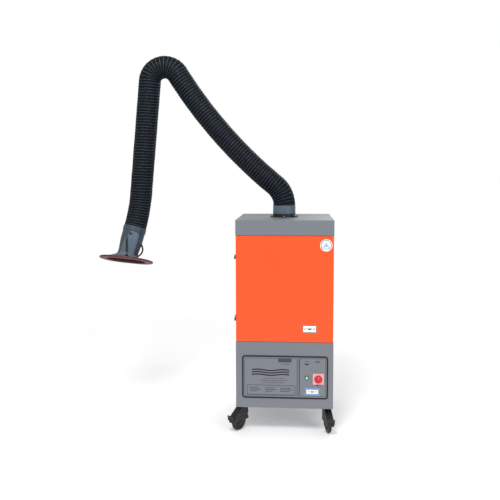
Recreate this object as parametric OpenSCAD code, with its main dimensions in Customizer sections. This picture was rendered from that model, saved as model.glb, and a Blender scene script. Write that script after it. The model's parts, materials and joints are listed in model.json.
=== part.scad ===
// Mobile fume filter unit: a sheet-steel cabinet on castors with a filter chamber above a fan room,
// and a self-supporting hose arm with a hood. Millimetres. The origin is on the floor under the
// middle of the cabinet, +X to the cabinet's right seen from the front, +Y to its back, +Z up.

/* [Cabinet] */
// Width of the cabinet across its side panels
cab_w = 655; // [600:1:790]
// Depth of the cabinet from its front panels to its back panel
cab_d = 655; // [600:1:760]
// Height of the roof above the floor
cab_top = 1450; // [1400:1:1740]
// Thickness of the steel sheet
sheet = 2; // [1.5:0.1:3]
// Height of the folded band at the front edge of the roof
band_h = 102; // [70:1:120]
// Height of the lower front panel above the cabinet's underside
lower_h = 454; // [440:1:500]
// Thickness of the floor plate of the cabinet
floor_t = 3; // [2:0.5:5]

/* [Door] */
// Depth of the folded door pan
door_t = 25; // [20:1:32]
// Gap between the door and the panels above and below it
door_gap = 3; // [2:0.5:5]
// Thickness of the rubber seal behind the door
seal_t = 5.6; // [4:0.2:8]
// Radius of the two hinge pins
hinge_r = 4; // [3:0.5:5]

/* [Castors] */
// Diameter of all four wheels
wheel_d = 125; // [100:1:150]
// Width of a wheel's tread
wheel_w = 34; // [28:1:40]
// Height of the castors' top plates above the top of the wheels
fork_rise = 50; // [46:1:60]
// Distance of a swivel castor's wheel behind its swivel
trail = 40; // [30:1:50]

/* [Duct] */
// Outer diameter of the hose
hose_d = 158; // [132:1:180]
// Thickness of the hose wall
hose_wall = 4; // [3:0.5:6]
// Height of the rotary collar's top edge above the roof
collar_h = 83; // [75:1:110]
// Radius of the hose's bend above the collar
shoulder_bend_r = 188; // [170:1:230]
// Turn of that bend in degrees
shoulder_turn = 50.4; // [40:0.2:60]
// Length of the sagging hose between the two bends
lower_len = 1048; // [900:1:1200]
// Turn of the sag in degrees
sag_turn = 18.2; // [12:0.2:20]
// Radius of the hose's bend at the elbow
elbow_bend_r = 109; // [105:1:150]
// Turn of the elbow bend in degrees
elbow_turn = 142.3; // [125:0.1:145]
// Length of straight hose between the elbow bend and the wrist bend
forearm_len = 793; // [650:1:960]
// Length of the hose's last bend, above the hood
wrist_len = 260; // [220:1:300]

/* [Hood] */
// Lean of the hood to the left, in degrees
hood_lean = 12.5; // [8:0.5:18]
// Tilt of the hood towards the front, in degrees
hood_tilt = 17; // [8:1:22]
// Length of the hood's flared shell
shell_len = 138; // [115:1:200]
// Slant of the hood's mouth, its right side the higher, in degrees
mouth_slant = 7; // [0:0.5:9]
// Width of the hood's rim
rim_w = 381; // [350:1:420]
// Depth of the hood's rim
rim_d = 290; // [270:1:300]
// Width of the mouth inside the rim
mouth_w = 290; // [260:1:300]
// Depth of the mouth inside the rim
mouth_d = 215; // [200:1:220]

/* [Fan] */
// Radius of the fan wheel
fan_r = 150; // [120:1:155]
// Number of fan blades
blade_count = 10; // [7:1:12]

/* [Hidden] */
$fn = 48;

// Colours of the finishes
grey_paint = [0.486, 0.51, 0.545];
orange_paint = [1, 0.35, 0.12];
black_plastic = [0.08, 0.08, 0.09];
slate = [0.3, 0.37, 0.43];
hose_black = [0.13, 0.15, 0.19];
bright_steel = [0.7, 0.72, 0.75];
rim_red = [0.4, 0.05, 0.06];

// Clearances: a pin in its bore, a resting contact, and a free gap between parts
run_fit = 0.06;
loose_fit = 0.3;
free_gap = 1;
cut = 1;

// Cabinet levels and planes
base_z = wheel_d + fork_rise;
front_y = -cab_d / 2;
back_y = cab_d / 2;
side_x = cab_w / 2;
lower_top_z = base_z + lower_h;
band_bottom_z = cab_top - band_h;
lip_w = 30;
stand_off = door_t + seal_t + 0.4;
frame_y = front_y + stand_off;
frame_h = 40;

// Door
door_bottom_z = lower_top_z + door_gap;
door_top_z = band_bottom_z - door_gap;
door_inset = 2;
door_x = side_x - door_inset;
hinge_x = side_x - door_t / 2;
hinge_y = front_y + door_t / 2;
hinge_block = 20;
hinge_block_h = 16;
hinge_pin_len = 17;
return_w = 22;
seal_w = 12;

// Latches, measured from the left panel's outer face
latch_drop = 147;
latch_pin_out = 10;
latch_pin_back = 84;
latch_arm_out = 8;
latch_arm_back = 13;
latch_pin_r = 2;
bail_wire_r = 1.5;
bail_half = 11.5;
lever_half = 6;
lever_wall = 1.5;
lever_len = 52;
ear_half = 9;
catch_back = 14;
catch_t = 3;
catch_half = 8.5;
bail_hook_out = 6;
latch_zs = [door_top_z - latch_drop, door_bottom_z + latch_drop];

// Control panel on the lower front panel
panel_w = 578;
panel_h = 294;
panel_x = 4;
panel_z = base_z + 215;
panel_r = 20;
panel_rim = 9;
panel_proud = 4;
switch_x = 228;
switch_z = base_z + 207;
switch_side = 75;
switch_t = 5;
lamp_x = 151;
lamp_z = base_z + 214;
lamp_r = 15;
shaft_r = 4;

// Fan room
fan_y = 50;
fan_top_z = lower_top_z + 5;
housing_h = 160;
housing_wall = 2;
spiral_start = fan_r + 15;
spiral_growth = 115;
spiral_step = 10;
inlet_r = 92;
motor_r = 85;
motor_h = 172;
motor_shaft_r = 12;
hub_r = 26;
grille_w = 400;
grille_h = 190;
grille_z = base_z + 55;
foam_t = 25;

// Filter chamber
filter_w = cab_w - 55;
filter_d = cab_d - 115;
filter_h = 500;
filter_y = 20;
rail_w = 40;
rail_z = fan_top_z + 60;
prefilter_h = 50;

// Castors
axle_r = 6;
axle_z = wheel_d / 2;
castor_x = side_x - 39.5;
castor_front_y = front_y + 72.5;
castor_rear_y = back_y - 82.5;
castor_plate = 90;
castor_plate_t = 4;
cheek_t = 4;
cheek_gap = 3;
kingpin_r = 7;
crown_t = 12;
crown_r = 30;
crown_top = base_z - castor_plate_t - 9;
hood_gap = 5;
hood_wall = 6;
left_castor_yaw = 232;
right_castor_yaw = 282;
brake_r = wheel_d / 2 + 19;
brake_rise = 30;

// Duct and arm
duct_x = -8;
hose_r = hose_d / 2;
bore_r = hose_r - hose_wall;
hose_sides = 24;
spigot_r = bore_r - 3;
spigot_wall = 4;
base_h = 25;
base_flange_r = 105;
foot_count = 6;
foot_w = 22;
foot_t = 7;
collar_gap = 2;
link_r = 12;
pin_r = 6;
knuckle_r = 15;
bar_w = 22;
bar_t = 4;
hose_start_z = cab_top + collar_h;
shoulder_len = shoulder_bend_r * shoulder_turn * PI / 180;
elbow_len = elbow_bend_r * elbow_turn * PI / 180;
bend_run = 50;
hose_gap = 0.4;

// ---------- The hose's centreline, as a chain of [length, turn to the left] ----------
STRETCHES = [[shoulder_len, shoulder_turn], [lower_len, -sag_turn], [elbow_len, elbow_turn], [forearm_len, 0]];

// A step of length run from [x, z, heading] along an arc that turns by turn degrees
function arc_step(at, run, turn) =
  let (
    chord = abs(turn) < 0.001 ? run : run * sin(turn / 2) / (turn / 2 * PI / 180),
    way = at[2] + turn / 2
  ) [at[0] + chord * cos(way), at[1] + chord * sin(way), at[2] + turn];
// The state [x, z, heading] at distance run along the chain
function route(run, at = [duct_x, hose_start_z, 90], i = 0) =
  let (part = STRETCHES[i])
  (run <= part[0] || i == len(STRETCHES) - 1)
    ? arc_step(at, run, part[1] * run / part[0])
    : route(run - part[0], arc_step(at, part[0], part[1]), i + 1);
function place(state) = [state[0], 0, state[1]];
// A ring of points about p, in the plane of u and v
function ring(p, u, v, r) =
  [for (i = [0:hose_sides - 1]) p + r * (cos(i * 360 / hose_sides) * u + sin(i * 360 / hose_sides) * v)];
function route_ring(run, r) =
  let (s = route(run)) ring(place(s), [-sin(s[2]), 0, cos(s[2])], [0, -1, 0], r);

s_shoulder = shoulder_len + bend_run;
s_elbow_start = shoulder_len + lower_len - bend_run;
s_elbow_end = shoulder_len + lower_len + elbow_len + bend_run;
s_elbow_pivot = shoulder_len + lower_len + elbow_len / 2;
s_forearm_end = shoulder_len + lower_len + elbow_len + forearm_len;
shoulder_pivot = place(route(shoulder_len / 2));
elbow_pivot = place(route(s_elbow_pivot));
forearm_end = route(s_forearm_end);
link_knee = place(route(s_elbow_start + bend_run));
forearm_knee = place(route(s_elbow_end - bend_run / 2));

// ---------- The wrist: a bend from the forearm's direction into the hood's direction ----------
forearm_way = [cos(forearm_end[2]), 0, sin(forearm_end[2])];
forearm_lean = 270 - forearm_end[2];
hood_way = [-cos(hood_tilt) * sin(hood_lean), -sin(hood_tilt), -cos(hood_tilt) * cos(hood_lean)];
wrist_turn = acos(forearm_way * hood_way);
wrist_side = (hood_way - cos(wrist_turn) * forearm_way) / sin(wrist_turn);
wrist_hinge = cross(forearm_way, wrist_side);
wrist_bend_r = wrist_len / (wrist_turn * PI / 180);
wrist_reach = wrist_bend_r * tan(wrist_turn / 2);
wrist_start = place(forearm_end);
wrist_pivot = wrist_start + wrist_reach * forearm_way;
neck_top = wrist_pivot + wrist_reach * hood_way;
// The bend's side as seen in a frame that stands upright on the forearm
wrist_azimuth = atan2(wrist_side[1], wrist_side[0] * cos(forearm_lean) + wrist_side[2] * sin(forearm_lean));
function wrist_ring(share, r) =
  let (
    a = share * wrist_turn,
    along = cos(a) * forearm_way + sin(a) * wrist_side,
    p = wrist_start + wrist_bend_r * (sin(a) * forearm_way + (1 - cos(a)) * wrist_side)
  ) ring(p, cross(wrist_hinge, along), -wrist_hinge, r);

// Hood levels along its own axis, below the top of its neck
neck_len = 95;
cuff_len = 35;
neck_wall = 4;
neck_r = hose_r;
damper_z = -60;
damper_r = neck_r - neck_wall - 3;
bridge_z = 16;
shell_wall = 3;
rim_t = 14;
rim_z = -neck_len - shell_len;

// ---------- Shared shapes ----------

// A block by its low and high corners
module block(low, high) {
  translate(low) cube(high - low);
}

// A rounded rectangle, centred
module round_rect(w, h, r) {
  square([w - 2 * r, h], center = true);
  square([w, h - 2 * r], center = true);
  for (x = [-1, 1], y = [-1, 1]) translate([x * (w / 2 - r), y * (h / 2 - r)]) circle(r);
}

// An oblong with round ends, centred
module oblong(w, d) {
  square([w - d, d], center = true);
  for (x = [-1, 1]) translate([x * (w - d) / 2, 0]) circle(d / 2, $fn = 72);
}

// Stands a flat shape up in the XZ plane, reaching back from y by t
module stand_up(y, t) {
  translate([0, y + t, 0]) rotate([90, 0, 0]) linear_extrude(t) children();
}

// A round rod between two points in a plane of constant y
module rod(a, b, r) {
  d = b - a;
  translate(a) rotate([0, atan2(d[0], d[2]), 0]) cylinder(h = norm(d), r = r);
}

// A cylinder along Y, centred on a point
module cross_pin(at, r, h) {
  translate(at) rotate([90, 0, 0]) cylinder(h = h, r = r, center = true);
}

// A flat bar between two points, with round ends, standing in the XZ plane
module flat_bar(a, b, w, t) {
  d = b - a;
  waist = 0.8 * w;
  translate(a) rotate([0, atan2(d[0], d[2]), 0]) rotate([90, 0, 0]) linear_extrude(t, center = true) {
    circle(w / 2);
    translate([0, norm(d)]) circle(w / 2);
    translate([-waist / 2, 0]) square([waist, norm(d)]);
  }
}

// A hollow closed tube through two lists of rings, outer and inner
module ring_tube(outer, inner, sides = hose_sides) {
  n = len(outer);
  points = [for (r = outer, p = r) p, for (r = inner, p = r) p];
  function at(shell, i, j) = (shell * n + i) * sides + j % sides;
  polyhedron(points, [
    for (i = [0:n - 2], j = [0:sides - 1]) [at(0, i, j), at(0, i, j + 1), at(0, i + 1, j + 1), at(0, i + 1, j)],
    for (i = [0:n - 2], j = [0:sides - 1]) [at(1, i, j), at(1, i + 1, j), at(1, i + 1, j + 1), at(1, i, j + 1)],
    for (j = [0:sides - 1]) [at(0, 0, j + 1), at(0, 0, j), at(1, 0, j), at(1, 0, j + 1)],
    for (j = [0:sides - 1]) [at(0, n - 1, j), at(0, n - 1, j + 1), at(1, n - 1, j + 1), at(1, n - 1, j)]
  ]);
}

// A stretch of the hose along its route
module hose_stretch(from, to, steps) {
  runs = [for (i = [0:steps]) from + (to - from) * i / steps];
  ring_tube([for (s = runs) route_ring(s, hose_r)], [for (s = runs) route_ring(s, bore_r)]);
}

// Frames: upright on the forearm at the wrist, on the hood's axis at the wrist, and at the neck's top
module wrist_frame() {
  translate(wrist_pivot) rotate([0, forearm_lean, 0]) rotate([0, 0, wrist_azimuth]) children();
}
module hood_hinge_frame() {
  wrist_frame() rotate([0, -wrist_turn, 0]) children();
}
module hood_frame() {
  translate(neck_top) rotate([-hood_tilt, hood_lean, 0]) children();
}

// ---------- Cabinet ----------

// Floor plate with an upright edge all round, set inside the panels
module base_frame() {
  color(grey_paint) {
    block([-side_x, front_y, base_z], [side_x, back_y, base_z + floor_t]);
    difference() {
      block([-side_x + sheet, front_y + sheet, base_z + floor_t],
            [side_x - sheet, back_y - sheet, base_z + frame_h]);
      block([-side_x + sheet + floor_t, front_y + sheet + floor_t, base_z],
            [side_x - sheet - floor_t, back_y - sheet - floor_t, base_z + frame_h + cut]);
    }
  }
}

// A side panel: full depth below and above the door, set back beside it, with a lip that the seal meets
module side_panel() {
  low = base_z + floor_t;
  high = cab_top - sheet;
  difference() {
    block([side_x - sheet, front_y + sheet, low], [side_x, back_y - sheet, high]);
    block([side_x - sheet - cut, front_y, lower_top_z - sheet], [side_x + cut, frame_y, band_bottom_z + sheet]);
  }
  block([side_x - lip_w, frame_y, lower_top_z], [side_x, frame_y + sheet, band_bottom_z]);
}

module right_panel() {
  color(grey_paint) side_panel();
}

module left_panel() {
  color(grey_paint) mirror([1, 0, 0]) side_panel();
}

module back_panel() {
  color(grey_paint) difference() {
    block([-side_x, back_y - sheet, base_z + floor_t], [side_x, back_y, cab_top - sheet]);
    block([-grille_w / 2, back_y - sheet - cut, grille_z], [grille_w / 2, back_y + cut, grille_z + grille_h]);
    translate([gland_x, back_y + cut, gland_z]) rotate([90, 0, 0]) cylinder(h = sheet + 2 * cut, r = gland_r);
  }
}

// Roof sheet folded down at the front, with a lip over the door and a second fold that the seal meets
module roof_panel() {
  inner = side_x - sheet;
  color(grey_paint) difference() {
    union() {
      block([-side_x, front_y, cab_top - sheet], [side_x, back_y, cab_top]);
      block([-side_x, front_y, band_bottom_z], [side_x, front_y + sheet, cab_top - sheet]);
      block([-inner, front_y + sheet, band_bottom_z], [inner, frame_y, band_bottom_z + sheet]);
      block([-side_x + lip_w, frame_y, band_bottom_z - lip_w], [side_x - lip_w, frame_y + sheet, band_bottom_z + sheet]);
    }
    translate([duct_x, 0, cab_top - sheet - cut]) cylinder(h = sheet + 2 * cut, r = spigot_r - spigot_wall);
    foot_places() translate([0, 0, cab_top - sheet - cut]) cylinder(h = sheet + 2 * cut, r = foot_bolt_r + loose_fit);
  }
}

// Lower front sheet with the control panel's cut-out, a lip under the door and a fold that the seal meets
module lower_front_panel() {
  inner = side_x - sheet;
  color(grey_paint) {
    difference() {
      block([-side_x, front_y, base_z + floor_t], [side_x, front_y + sheet, lower_top_z]);
      translate([panel_x, 0, panel_z]) stand_up(front_y - cut, sheet + 2 * cut)
        round_rect(panel_w - 2 * panel_rim - 6, panel_h - 2 * panel_rim - 6, panel_r - panel_rim);
    }
    block([-inner, front_y + sheet, lower_top_z - sheet], [inner, frame_y, lower_top_z]);
    block([-side_x + lip_w, frame_y, lower_top_z - sheet], [side_x - lip_w, frame_y + sheet, lower_top_z + lip_w]);
  }
}

// Plate between the filter chamber and the fan room, with the fan's air inlet
module partition_plate() {
  color(grey_paint) difference() {
    block([-side_x + sheet, frame_y + sheet, fan_top_z], [side_x - sheet, back_y - sheet, fan_top_z + floor_t]);
    translate([0, fan_y, fan_top_z - cut]) cylinder(h = floor_t + 2 * cut, r = inlet_r);
  }
}

// Angle rails on both side panels that carry the filter cartridge
module filter_rails() {
  leg = 30;
  color(bright_steel) for (s = [0, 1]) mirror([s, 0, 0]) {
    block([side_x - sheet - rail_w, filter_y - filter_d / 2, rail_z - sheet],
          [side_x - sheet, filter_y + filter_d / 2, rail_z]);
    block([side_x - 2 * sheet, filter_y - filter_d / 2, rail_z - leg],
          [side_x - sheet, filter_y + filter_d / 2, rail_z - sheet]);
  }
}

// Pleated filter cassette: four boards round paper that runs down and up over the cassette's whole height
module filter_cartridge() {
  board = 12;
  pleats = 16;
  crease = 50;
  inner_w = filter_w - 2 * board;
  step = inner_w / (2 * pleats);
  folds = [for (i = [0:2 * pleats]) [i * step - inner_w / 2, i % 2 == 0 ? filter_h - 1 : crease + 1]];
  under = [for (i = [2 * pleats:-1:0]) folds[i] - [0, crease]];
  color([0.85, 0.83, 0.75]) translate([0, filter_y, rail_z]) {
    difference() {
      block([-filter_w / 2, -filter_d / 2, 0], [filter_w / 2, filter_d / 2, filter_h]);
      block([-inner_w / 2, -filter_d / 2 + board, -cut], [inner_w / 2, filter_d / 2 - board, filter_h + cut]);
    }
    translate([0, filter_d / 2 - board / 2, 0]) rotate([90, 0, 0])
      linear_extrude(filter_d - board) polygon(concat(folds, under));
  }
}

// Washable metal-mesh mat in a frame on top of the cartridge
module pre_filter() {
  rim = 20;
  color(bright_steel) translate([0, filter_y, rail_z + filter_h]) {
    difference() {
      block([-filter_w / 2, -filter_d / 2, 0], [filter_w / 2, filter_d / 2, prefilter_h]);
      block([-filter_w / 2 + rim, -filter_d / 2 + rim, -cut],
            [filter_w / 2 - rim, filter_d / 2 - rim, prefilter_h + cut]);
    }
    block([-filter_w / 2 + rim, -filter_d / 2 + rim, rim / 2],
          [filter_w / 2 - rim, filter_d / 2 - rim, prefilter_h - rim / 2]);
  }
}

// ---------- Fan room ----------

spiral_turns = 360;
function spiral(offset) =
  [for (a = [0:spiral_step:spiral_turns]) (spiral_start + offset + spiral_growth * a / spiral_turns) * [cos(a), sin(a)]];
outlet_y = back_y - fan_y - 2 * foam_t;

// The outline of the fan's scroll with its straight outlet towards the back
module scroll_shape(grow) {
  tongue = spiral_start - 12;
  polygon(spiral(grow));
  translate([tongue - grow, 0]) square([spiral_start + spiral_growth - tongue + 2 * grow, outlet_y]);
}

// Scroll housing with an inlet nozzle above the fan wheel
module fan_housing() {
  nozzle_h = 66;
  color(bright_steel) translate([0, fan_y, fan_top_z - housing_h]) {
    difference() {
      linear_extrude(housing_h) scroll_shape(housing_wall);
      translate([0, 0, housing_wall]) linear_extrude(housing_h - 2 * housing_wall) scroll_shape(0);
      translate([spiral_start, outlet_y - housing_wall * 2, housing_wall])
        cube([spiral_growth, 4 * housing_wall, housing_h - 2 * housing_wall]);
      translate([0, 0, -cut]) cylinder(h = housing_wall + 2 * cut, r = motor_shaft_r + 20);
      translate([0, 0, housing_h - housing_wall - cut]) cylinder(h = housing_wall + 2 * cut, r = inlet_r);
    }
    translate([0, 0, housing_h - nozzle_h]) difference() {
      cylinder(h = nozzle_h, r = inlet_r + housing_wall);
      translate([0, 0, -cut]) cylinder(h = nozzle_h + 2 * cut, r = inlet_r);
    }
  }
}

// Flanged motor under the scroll, with cooling ribs, a terminal box and its shaft
module fan_motor() {
  flange_t = 10;
  ribs = 20;
  rib = [12, 4, motor_h - 50];
  top = fan_top_z - housing_h;
  color(black_plastic) translate([0, fan_y, top - motor_h]) {
    cylinder(h = motor_h - flange_t, r = motor_r);
    translate([0, 0, motor_h - flange_t]) cylinder(h = flange_t, r = motor_r + 20);
    for (i = [0:ribs - 1]) rotate([0, 0, i * 360 / ribs]) translate([motor_r - 2, -rib[1] / 2, 20]) cube(rib);
    translate([-40, motor_r - 8, 50]) cube([80, 50, 70]);
    translate([0, 0, motor_h]) cylinder(h = 52, r = motor_shaft_r);
  }
}

// Backward-curved fan wheel on the motor's shaft
module fan_impeller() {
  plate_t = 3;
  plate_z = 16;
  blade_h = 64;
  blade_t = 2.5;
  blade_r = 95;
  blade_in = 78;
  color(bright_steel) translate([0, fan_y, fan_top_z - housing_h]) difference() {
    union() {
      translate([0, 0, plate_z]) cylinder(h = plate_t, r = fan_r);
      translate([0, 0, plate_z - 6]) cylinder(h = 40, r = hub_r);
      translate([0, 0, plate_z + plate_t + blade_h]) difference() {
        cylinder(h = plate_t, r = fan_r);
        translate([0, 0, -cut]) cylinder(h = plate_t + 2 * cut, r = inlet_r - 4);
      }
      intersection() {
        translate([0, 0, plate_z + plate_t - 0.5]) difference() {
          cylinder(h = blade_h + 1, r = fan_r - 1);
          translate([0, 0, -cut]) cylinder(h = blade_h + 3 * cut, r = blade_in);
        }
        for (i = [0:blade_count - 1]) rotate([0, 0, i * 360 / blade_count])
          translate([blade_in - 20, blade_r - 20, plate_z + plate_t - 0.5]) difference() {
            cylinder(h = blade_h + 1, r = blade_r);
            translate([0, 0, -cut]) cylinder(h = blade_h + 3 * cut, r = blade_r - blade_t);
            translate([-3 * blade_r, -blade_r - cut, -cut]) cube([3 * blade_r, 3 * blade_r, blade_h + 3 * cut]);
          }
      }
    }
    translate([0, 0, -cut]) cylinder(h = housing_h, r = motor_shaft_r + run_fit);
  }
}

// Sound-absorbing slabs on both side panels
module silencer_foam() {
  color([0.2, 0.2, 0.22]) for (s = [0, 1]) mirror([s, 0, 0])
    block([side_x - sheet - floor_t - foam_t, -100, base_z + frame_h + free_gap],
          [side_x - sheet - floor_t, back_y - 3 * foam_t, fan_top_z - housing_h - foam_t]);
}

// Louvred outlet on the back panel
module outlet_grille() {
  rim = 14;
  slat_t = 2;
  pitch = 19;
  depth = 8;
  color(black_plastic) translate([0, back_y, grille_z + grille_h / 2]) {
    difference() {
      block([-grille_w / 2 - rim, 0, -grille_h / 2 - rim], [grille_w / 2 + rim, depth, grille_h / 2 + rim]);
      block([-grille_w / 2, -cut, -grille_h / 2], [grille_w / 2, depth + cut, grille_h / 2]);
    }
    for (z = [-grille_h / 2 + pitch / 2:pitch:grille_h / 2]) intersection() {
      translate([0, depth / 2, z]) rotate([-35, 0, 0]) cube([grille_w + rim, 2 * depth, slat_t], center = true);
      block([-grille_w / 2 - rim / 2, 0, -grille_h / 2 - rim / 2], [grille_w / 2 + rim / 2, depth, grille_h / 2 + rim / 2]);
    }
  }
}

gland_x = 240;
gland_z = base_z + 80;
gland_r = 8;

// Threaded gland for the supply cable, through the back panel
module cable_gland() {
  body_r = 12;
  bore = 4.5;
  color(black_plastic) translate([gland_x, back_y - 12, gland_z]) rotate([-90, 0, 0]) difference() {
    union() {
      cylinder(h = 12 - sheet, r = body_r, $fn = 6);
      translate([0, 0, 12 - sheet]) cylinder(h = sheet, r = gland_r);
      translate([0, 0, 12]) cylinder(h = 8, r = body_r + 1, $fn = 6);
      translate([0, 0, 20]) cylinder(h = 12, r = body_r - 2);
    }
    translate([0, 0, -cut]) cylinder(h = 40, r = bore);
  }
}

// Screw heads along the edges of the back panel
module panel_screws() {
  rows = 6;
  inset = 14;
  pitch = (cab_top - base_z - 2 * inset - 2 * sheet) / (rows - 1);
  color(bright_steel) for (x = [-1, 1], i = [0:rows - 1])
    translate([x * (side_x - inset), back_y, base_z + inset + floor_t + i * pitch * 0.99]) rotate([-90, 0, 0])
      cylinder(h = 3, r = 5);
}

// ---------- Controls ----------

// Sheet-steel box behind the control panel that holds the switchgear
module control_box() {
  low = [-150, front_y + sheet + 6, panel_z - 120];
  high = [280, front_y + 98, panel_z + 120];
  t = [sheet, sheet, sheet];
  color(bright_steel) difference() {
    block(low, high);
    block(low + t, high - t);
    for (p = [[switch_x, switch_z], [lamp_x, lamp_z]]) translate([p[0], low[1] - cut, p[1]])
      rotate([-90, 0, 0]) cylinder(h = sheet + 2 * cut, r = lamp_r);
  }
}

// Black rubber frame round the control panel
module control_frame() {
  color(black_plastic) translate([panel_x, 0, panel_z]) stand_up(front_y - panel_proud, panel_proud) difference() {
    round_rect(panel_w, panel_h, panel_r);
    round_rect(panel_w - 2 * panel_rim, panel_h - 2 * panel_rim, panel_r - panel_rim);
  }
}

// Grey front plate of the control panel
module control_plate() {
  gap = 0.5;
  color(grey_paint) difference() {
    translate([panel_x, 0, panel_z]) stand_up(front_y - sheet, sheet)
      round_rect(panel_w - 2 * panel_rim - 2 * gap, panel_h - 2 * panel_rim - 2 * gap, panel_r - panel_rim);
    for (p = [[switch_x, switch_z, shaft_r + 2], [lamp_x, lamp_z, lamp_r - 4]])
      translate([p[0], front_y - sheet - cut, p[1]]) rotate([-90, 0, 0]) cylinder(h = sheet + 2 * cut, r = p[2]);
  }
}

module indicator_lamp() {
  color([0.1, 0.45, 0.35]) translate([lamp_x, front_y - sheet, lamp_z]) rotate([90, 0, 0]) {
    cylinder(h = 3, r = lamp_r);
    translate([0, 0, 3]) cylinder(h = 4, r1 = lamp_r - 4, r2 = lamp_r - 7);
    translate([0, 0, -5]) cylinder(h = 5, r = lamp_r - 4 - loose_fit);
  }
}

module switch_plate() {
  color([0.95, 0.8, 0.75]) difference() {
    translate([switch_x, 0, switch_z]) stand_up(front_y - sheet - switch_t, switch_t)
      round_rect(switch_side, switch_side, 5);
    translate([switch_x, front_y, switch_z]) rotate([90, 0, 0]) cylinder(h = switch_t + 2 * sheet, r = shaft_r + run_fit);
  }
}

// Red rotary main switch: a round knob with a raised grip, on its shaft
module switch_knob() {
  knob_r = 27;
  color("red") translate([switch_x, front_y - sheet - switch_t - loose_fit, switch_z]) rotate([90, 0, 0]) {
    cylinder(h = 8, r = knob_r);
    translate([-6, -knob_r + 3, 8]) cube([12, 2 * knob_r - 6, 14]);
    translate([0, 0, -14]) cylinder(h = 14, r = shaft_r);
  }
}

// ---------- Door ----------

// Folded door pan with return flanges and blocks that take the hinge pins
module door() {
  low = [-door_x, front_y, door_bottom_z];
  high = [door_x, front_y + door_t, door_top_z];
  color(orange_paint) difference() {
    union() {
      difference() {
        block(low, high);
        block(low + [sheet, sheet, sheet], high - [sheet, sheet, sheet]);
        block(low + [return_w, door_t - sheet - cut, return_w], high + [-return_w, cut, -return_w]);
      }
      for (z = [door_bottom_z + sheet, door_top_z - sheet - hinge_block_h])
        block([hinge_x - hinge_block / 2, front_y + sheet, z],
              [door_x - sheet, front_y + door_t - sheet, z + hinge_block_h]);
    }
    for (z = [door_bottom_z - cut, door_top_z - hinge_block_h - sheet - cut])
      translate([hinge_x, hinge_y, z]) cylinder(h = hinge_block_h + sheet + 2 * cut, r = hinge_r + run_fit);
  }
}

module door_seal() {
  back = front_y + door_t;
  x = hinge_x - free_gap;
  z0 = door_bottom_z + 5;
  z1 = door_top_z - 5;
  color(black_plastic) difference() {
    block([-x, back, z0], [x, back + seal_t, z1]);
    block([-x + seal_w, back - cut, z0 + seal_w], [x - seal_w, back + seal_t + cut, z1 - seal_w]);
  }
}

// Two pins that stand on the lips above and below the door
module hinge_pins() {
  color(bright_steel) for (z = [lower_top_z, band_bottom_z - hinge_pin_len])
    translate([hinge_x, hinge_y, z]) cylinder(h = hinge_pin_len, r = hinge_r);
}

// ---------- Latches on the left panel ----------

latch_x = -side_x - latch_pin_out;
latch_y = front_y + latch_pin_back;
bail_x = -side_x - latch_arm_out;
bail_y = latch_y + latch_arm_back;
hook_y = front_y + catch_back - bail_wire_r - loose_fit;
hook_x = -side_x - bail_hook_out;

// Base plate with two ears and the pin that the lever turns on, one for each latch
module latch_bases() {
  color(black_plastic) for (z = latch_zs) {
    block([-side_x - sheet, latch_y - 12, z - ear_half], [-side_x, latch_y + 40, z + ear_half]);
    for (s = [-1, 1]) translate([0, 0, z + s * (ear_half - 1)]) {
      translate([latch_x, latch_y, 0]) cylinder(h = 2, r = 5, center = true);
      block([latch_x, latch_y - 5, -1], [-side_x - sheet, latch_y + 5, 1]);
    }
    translate([latch_x, latch_y, z]) cylinder(h = 2 * ear_half, r = latch_pin_r, center = true);
  }
}

// Channel-shaped lever, with bores for its own pin and for the bail
module latch_lever(z) {
  out = 4;
  back = 4.5;
  color(black_plastic) translate([latch_x, latch_y, z]) difference() {
    block([-out, -back, -lever_half], [out, lever_len, lever_half]);
    block([-out + lever_wall, -back - cut, -lever_half + lever_wall], [out + cut, lever_len - 3, lever_half - lever_wall]);
    translate([0, 0, -lever_half - cut]) cylinder(h = 2 * lever_half + 2 * cut, r = latch_pin_r + run_fit);
    translate([latch_pin_out - latch_arm_out, latch_arm_back, -lever_half - cut])
      cylinder(h = 2 * lever_half + 2 * cut, r = bail_wire_r + run_fit);
  }
}

module upper_latch_lever() {
  latch_lever(latch_zs[0]);
}

module lower_latch_lever() {
  latch_lever(latch_zs[1]);
}

// Loop from the lever forward to the catch: two flat sides, a cross wire, and two pins in the lever
module latch_bail(z) {
  side_t = 2;
  side_w = 4;
  run = [bail_x - hook_x, bail_y - hook_y];
  reach = norm(run) + side_w;
  color(bright_steel) translate([0, 0, z]) {
    translate([hook_x, hook_y, -bail_half]) cylinder(h = 2 * bail_half, r = bail_wire_r);
    for (s = [-1, 1]) translate([0, 0, s * (bail_half - side_t / 2)]) {
      translate([hook_x, hook_y, -side_t / 2]) rotate([0, 0, atan2(run[1], run[0])])
        translate([-side_w / 2, -side_w / 2, 0]) cube([reach, side_w, side_t]);
    }
    for (s = [0, 1]) mirror([0, 0, s]) translate([bail_x, bail_y, lever_half - lever_wall])
      cylinder(h = bail_half - lever_half + lever_wall, r = bail_wire_r);
  }
}

module upper_latch_bail() {
  latch_bail(latch_zs[0]);
}

module lower_latch_bail() {
  latch_bail(latch_zs[1]);
}

// Hooks on the door's edge that the bails pull on
module latch_catches() {
  color(black_plastic) for (z = latch_zs) {
    block([-side_x, front_y + 6, z - catch_half], [-door_x, front_y + door_t - 1, z + catch_half]);
    block([-side_x - 11, front_y + catch_back, z - catch_half], [-side_x, front_y + catch_back + catch_t, z + catch_half]);
  }
}

// ---------- Castors ----------

castor_top = base_z - castor_plate_t;

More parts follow.
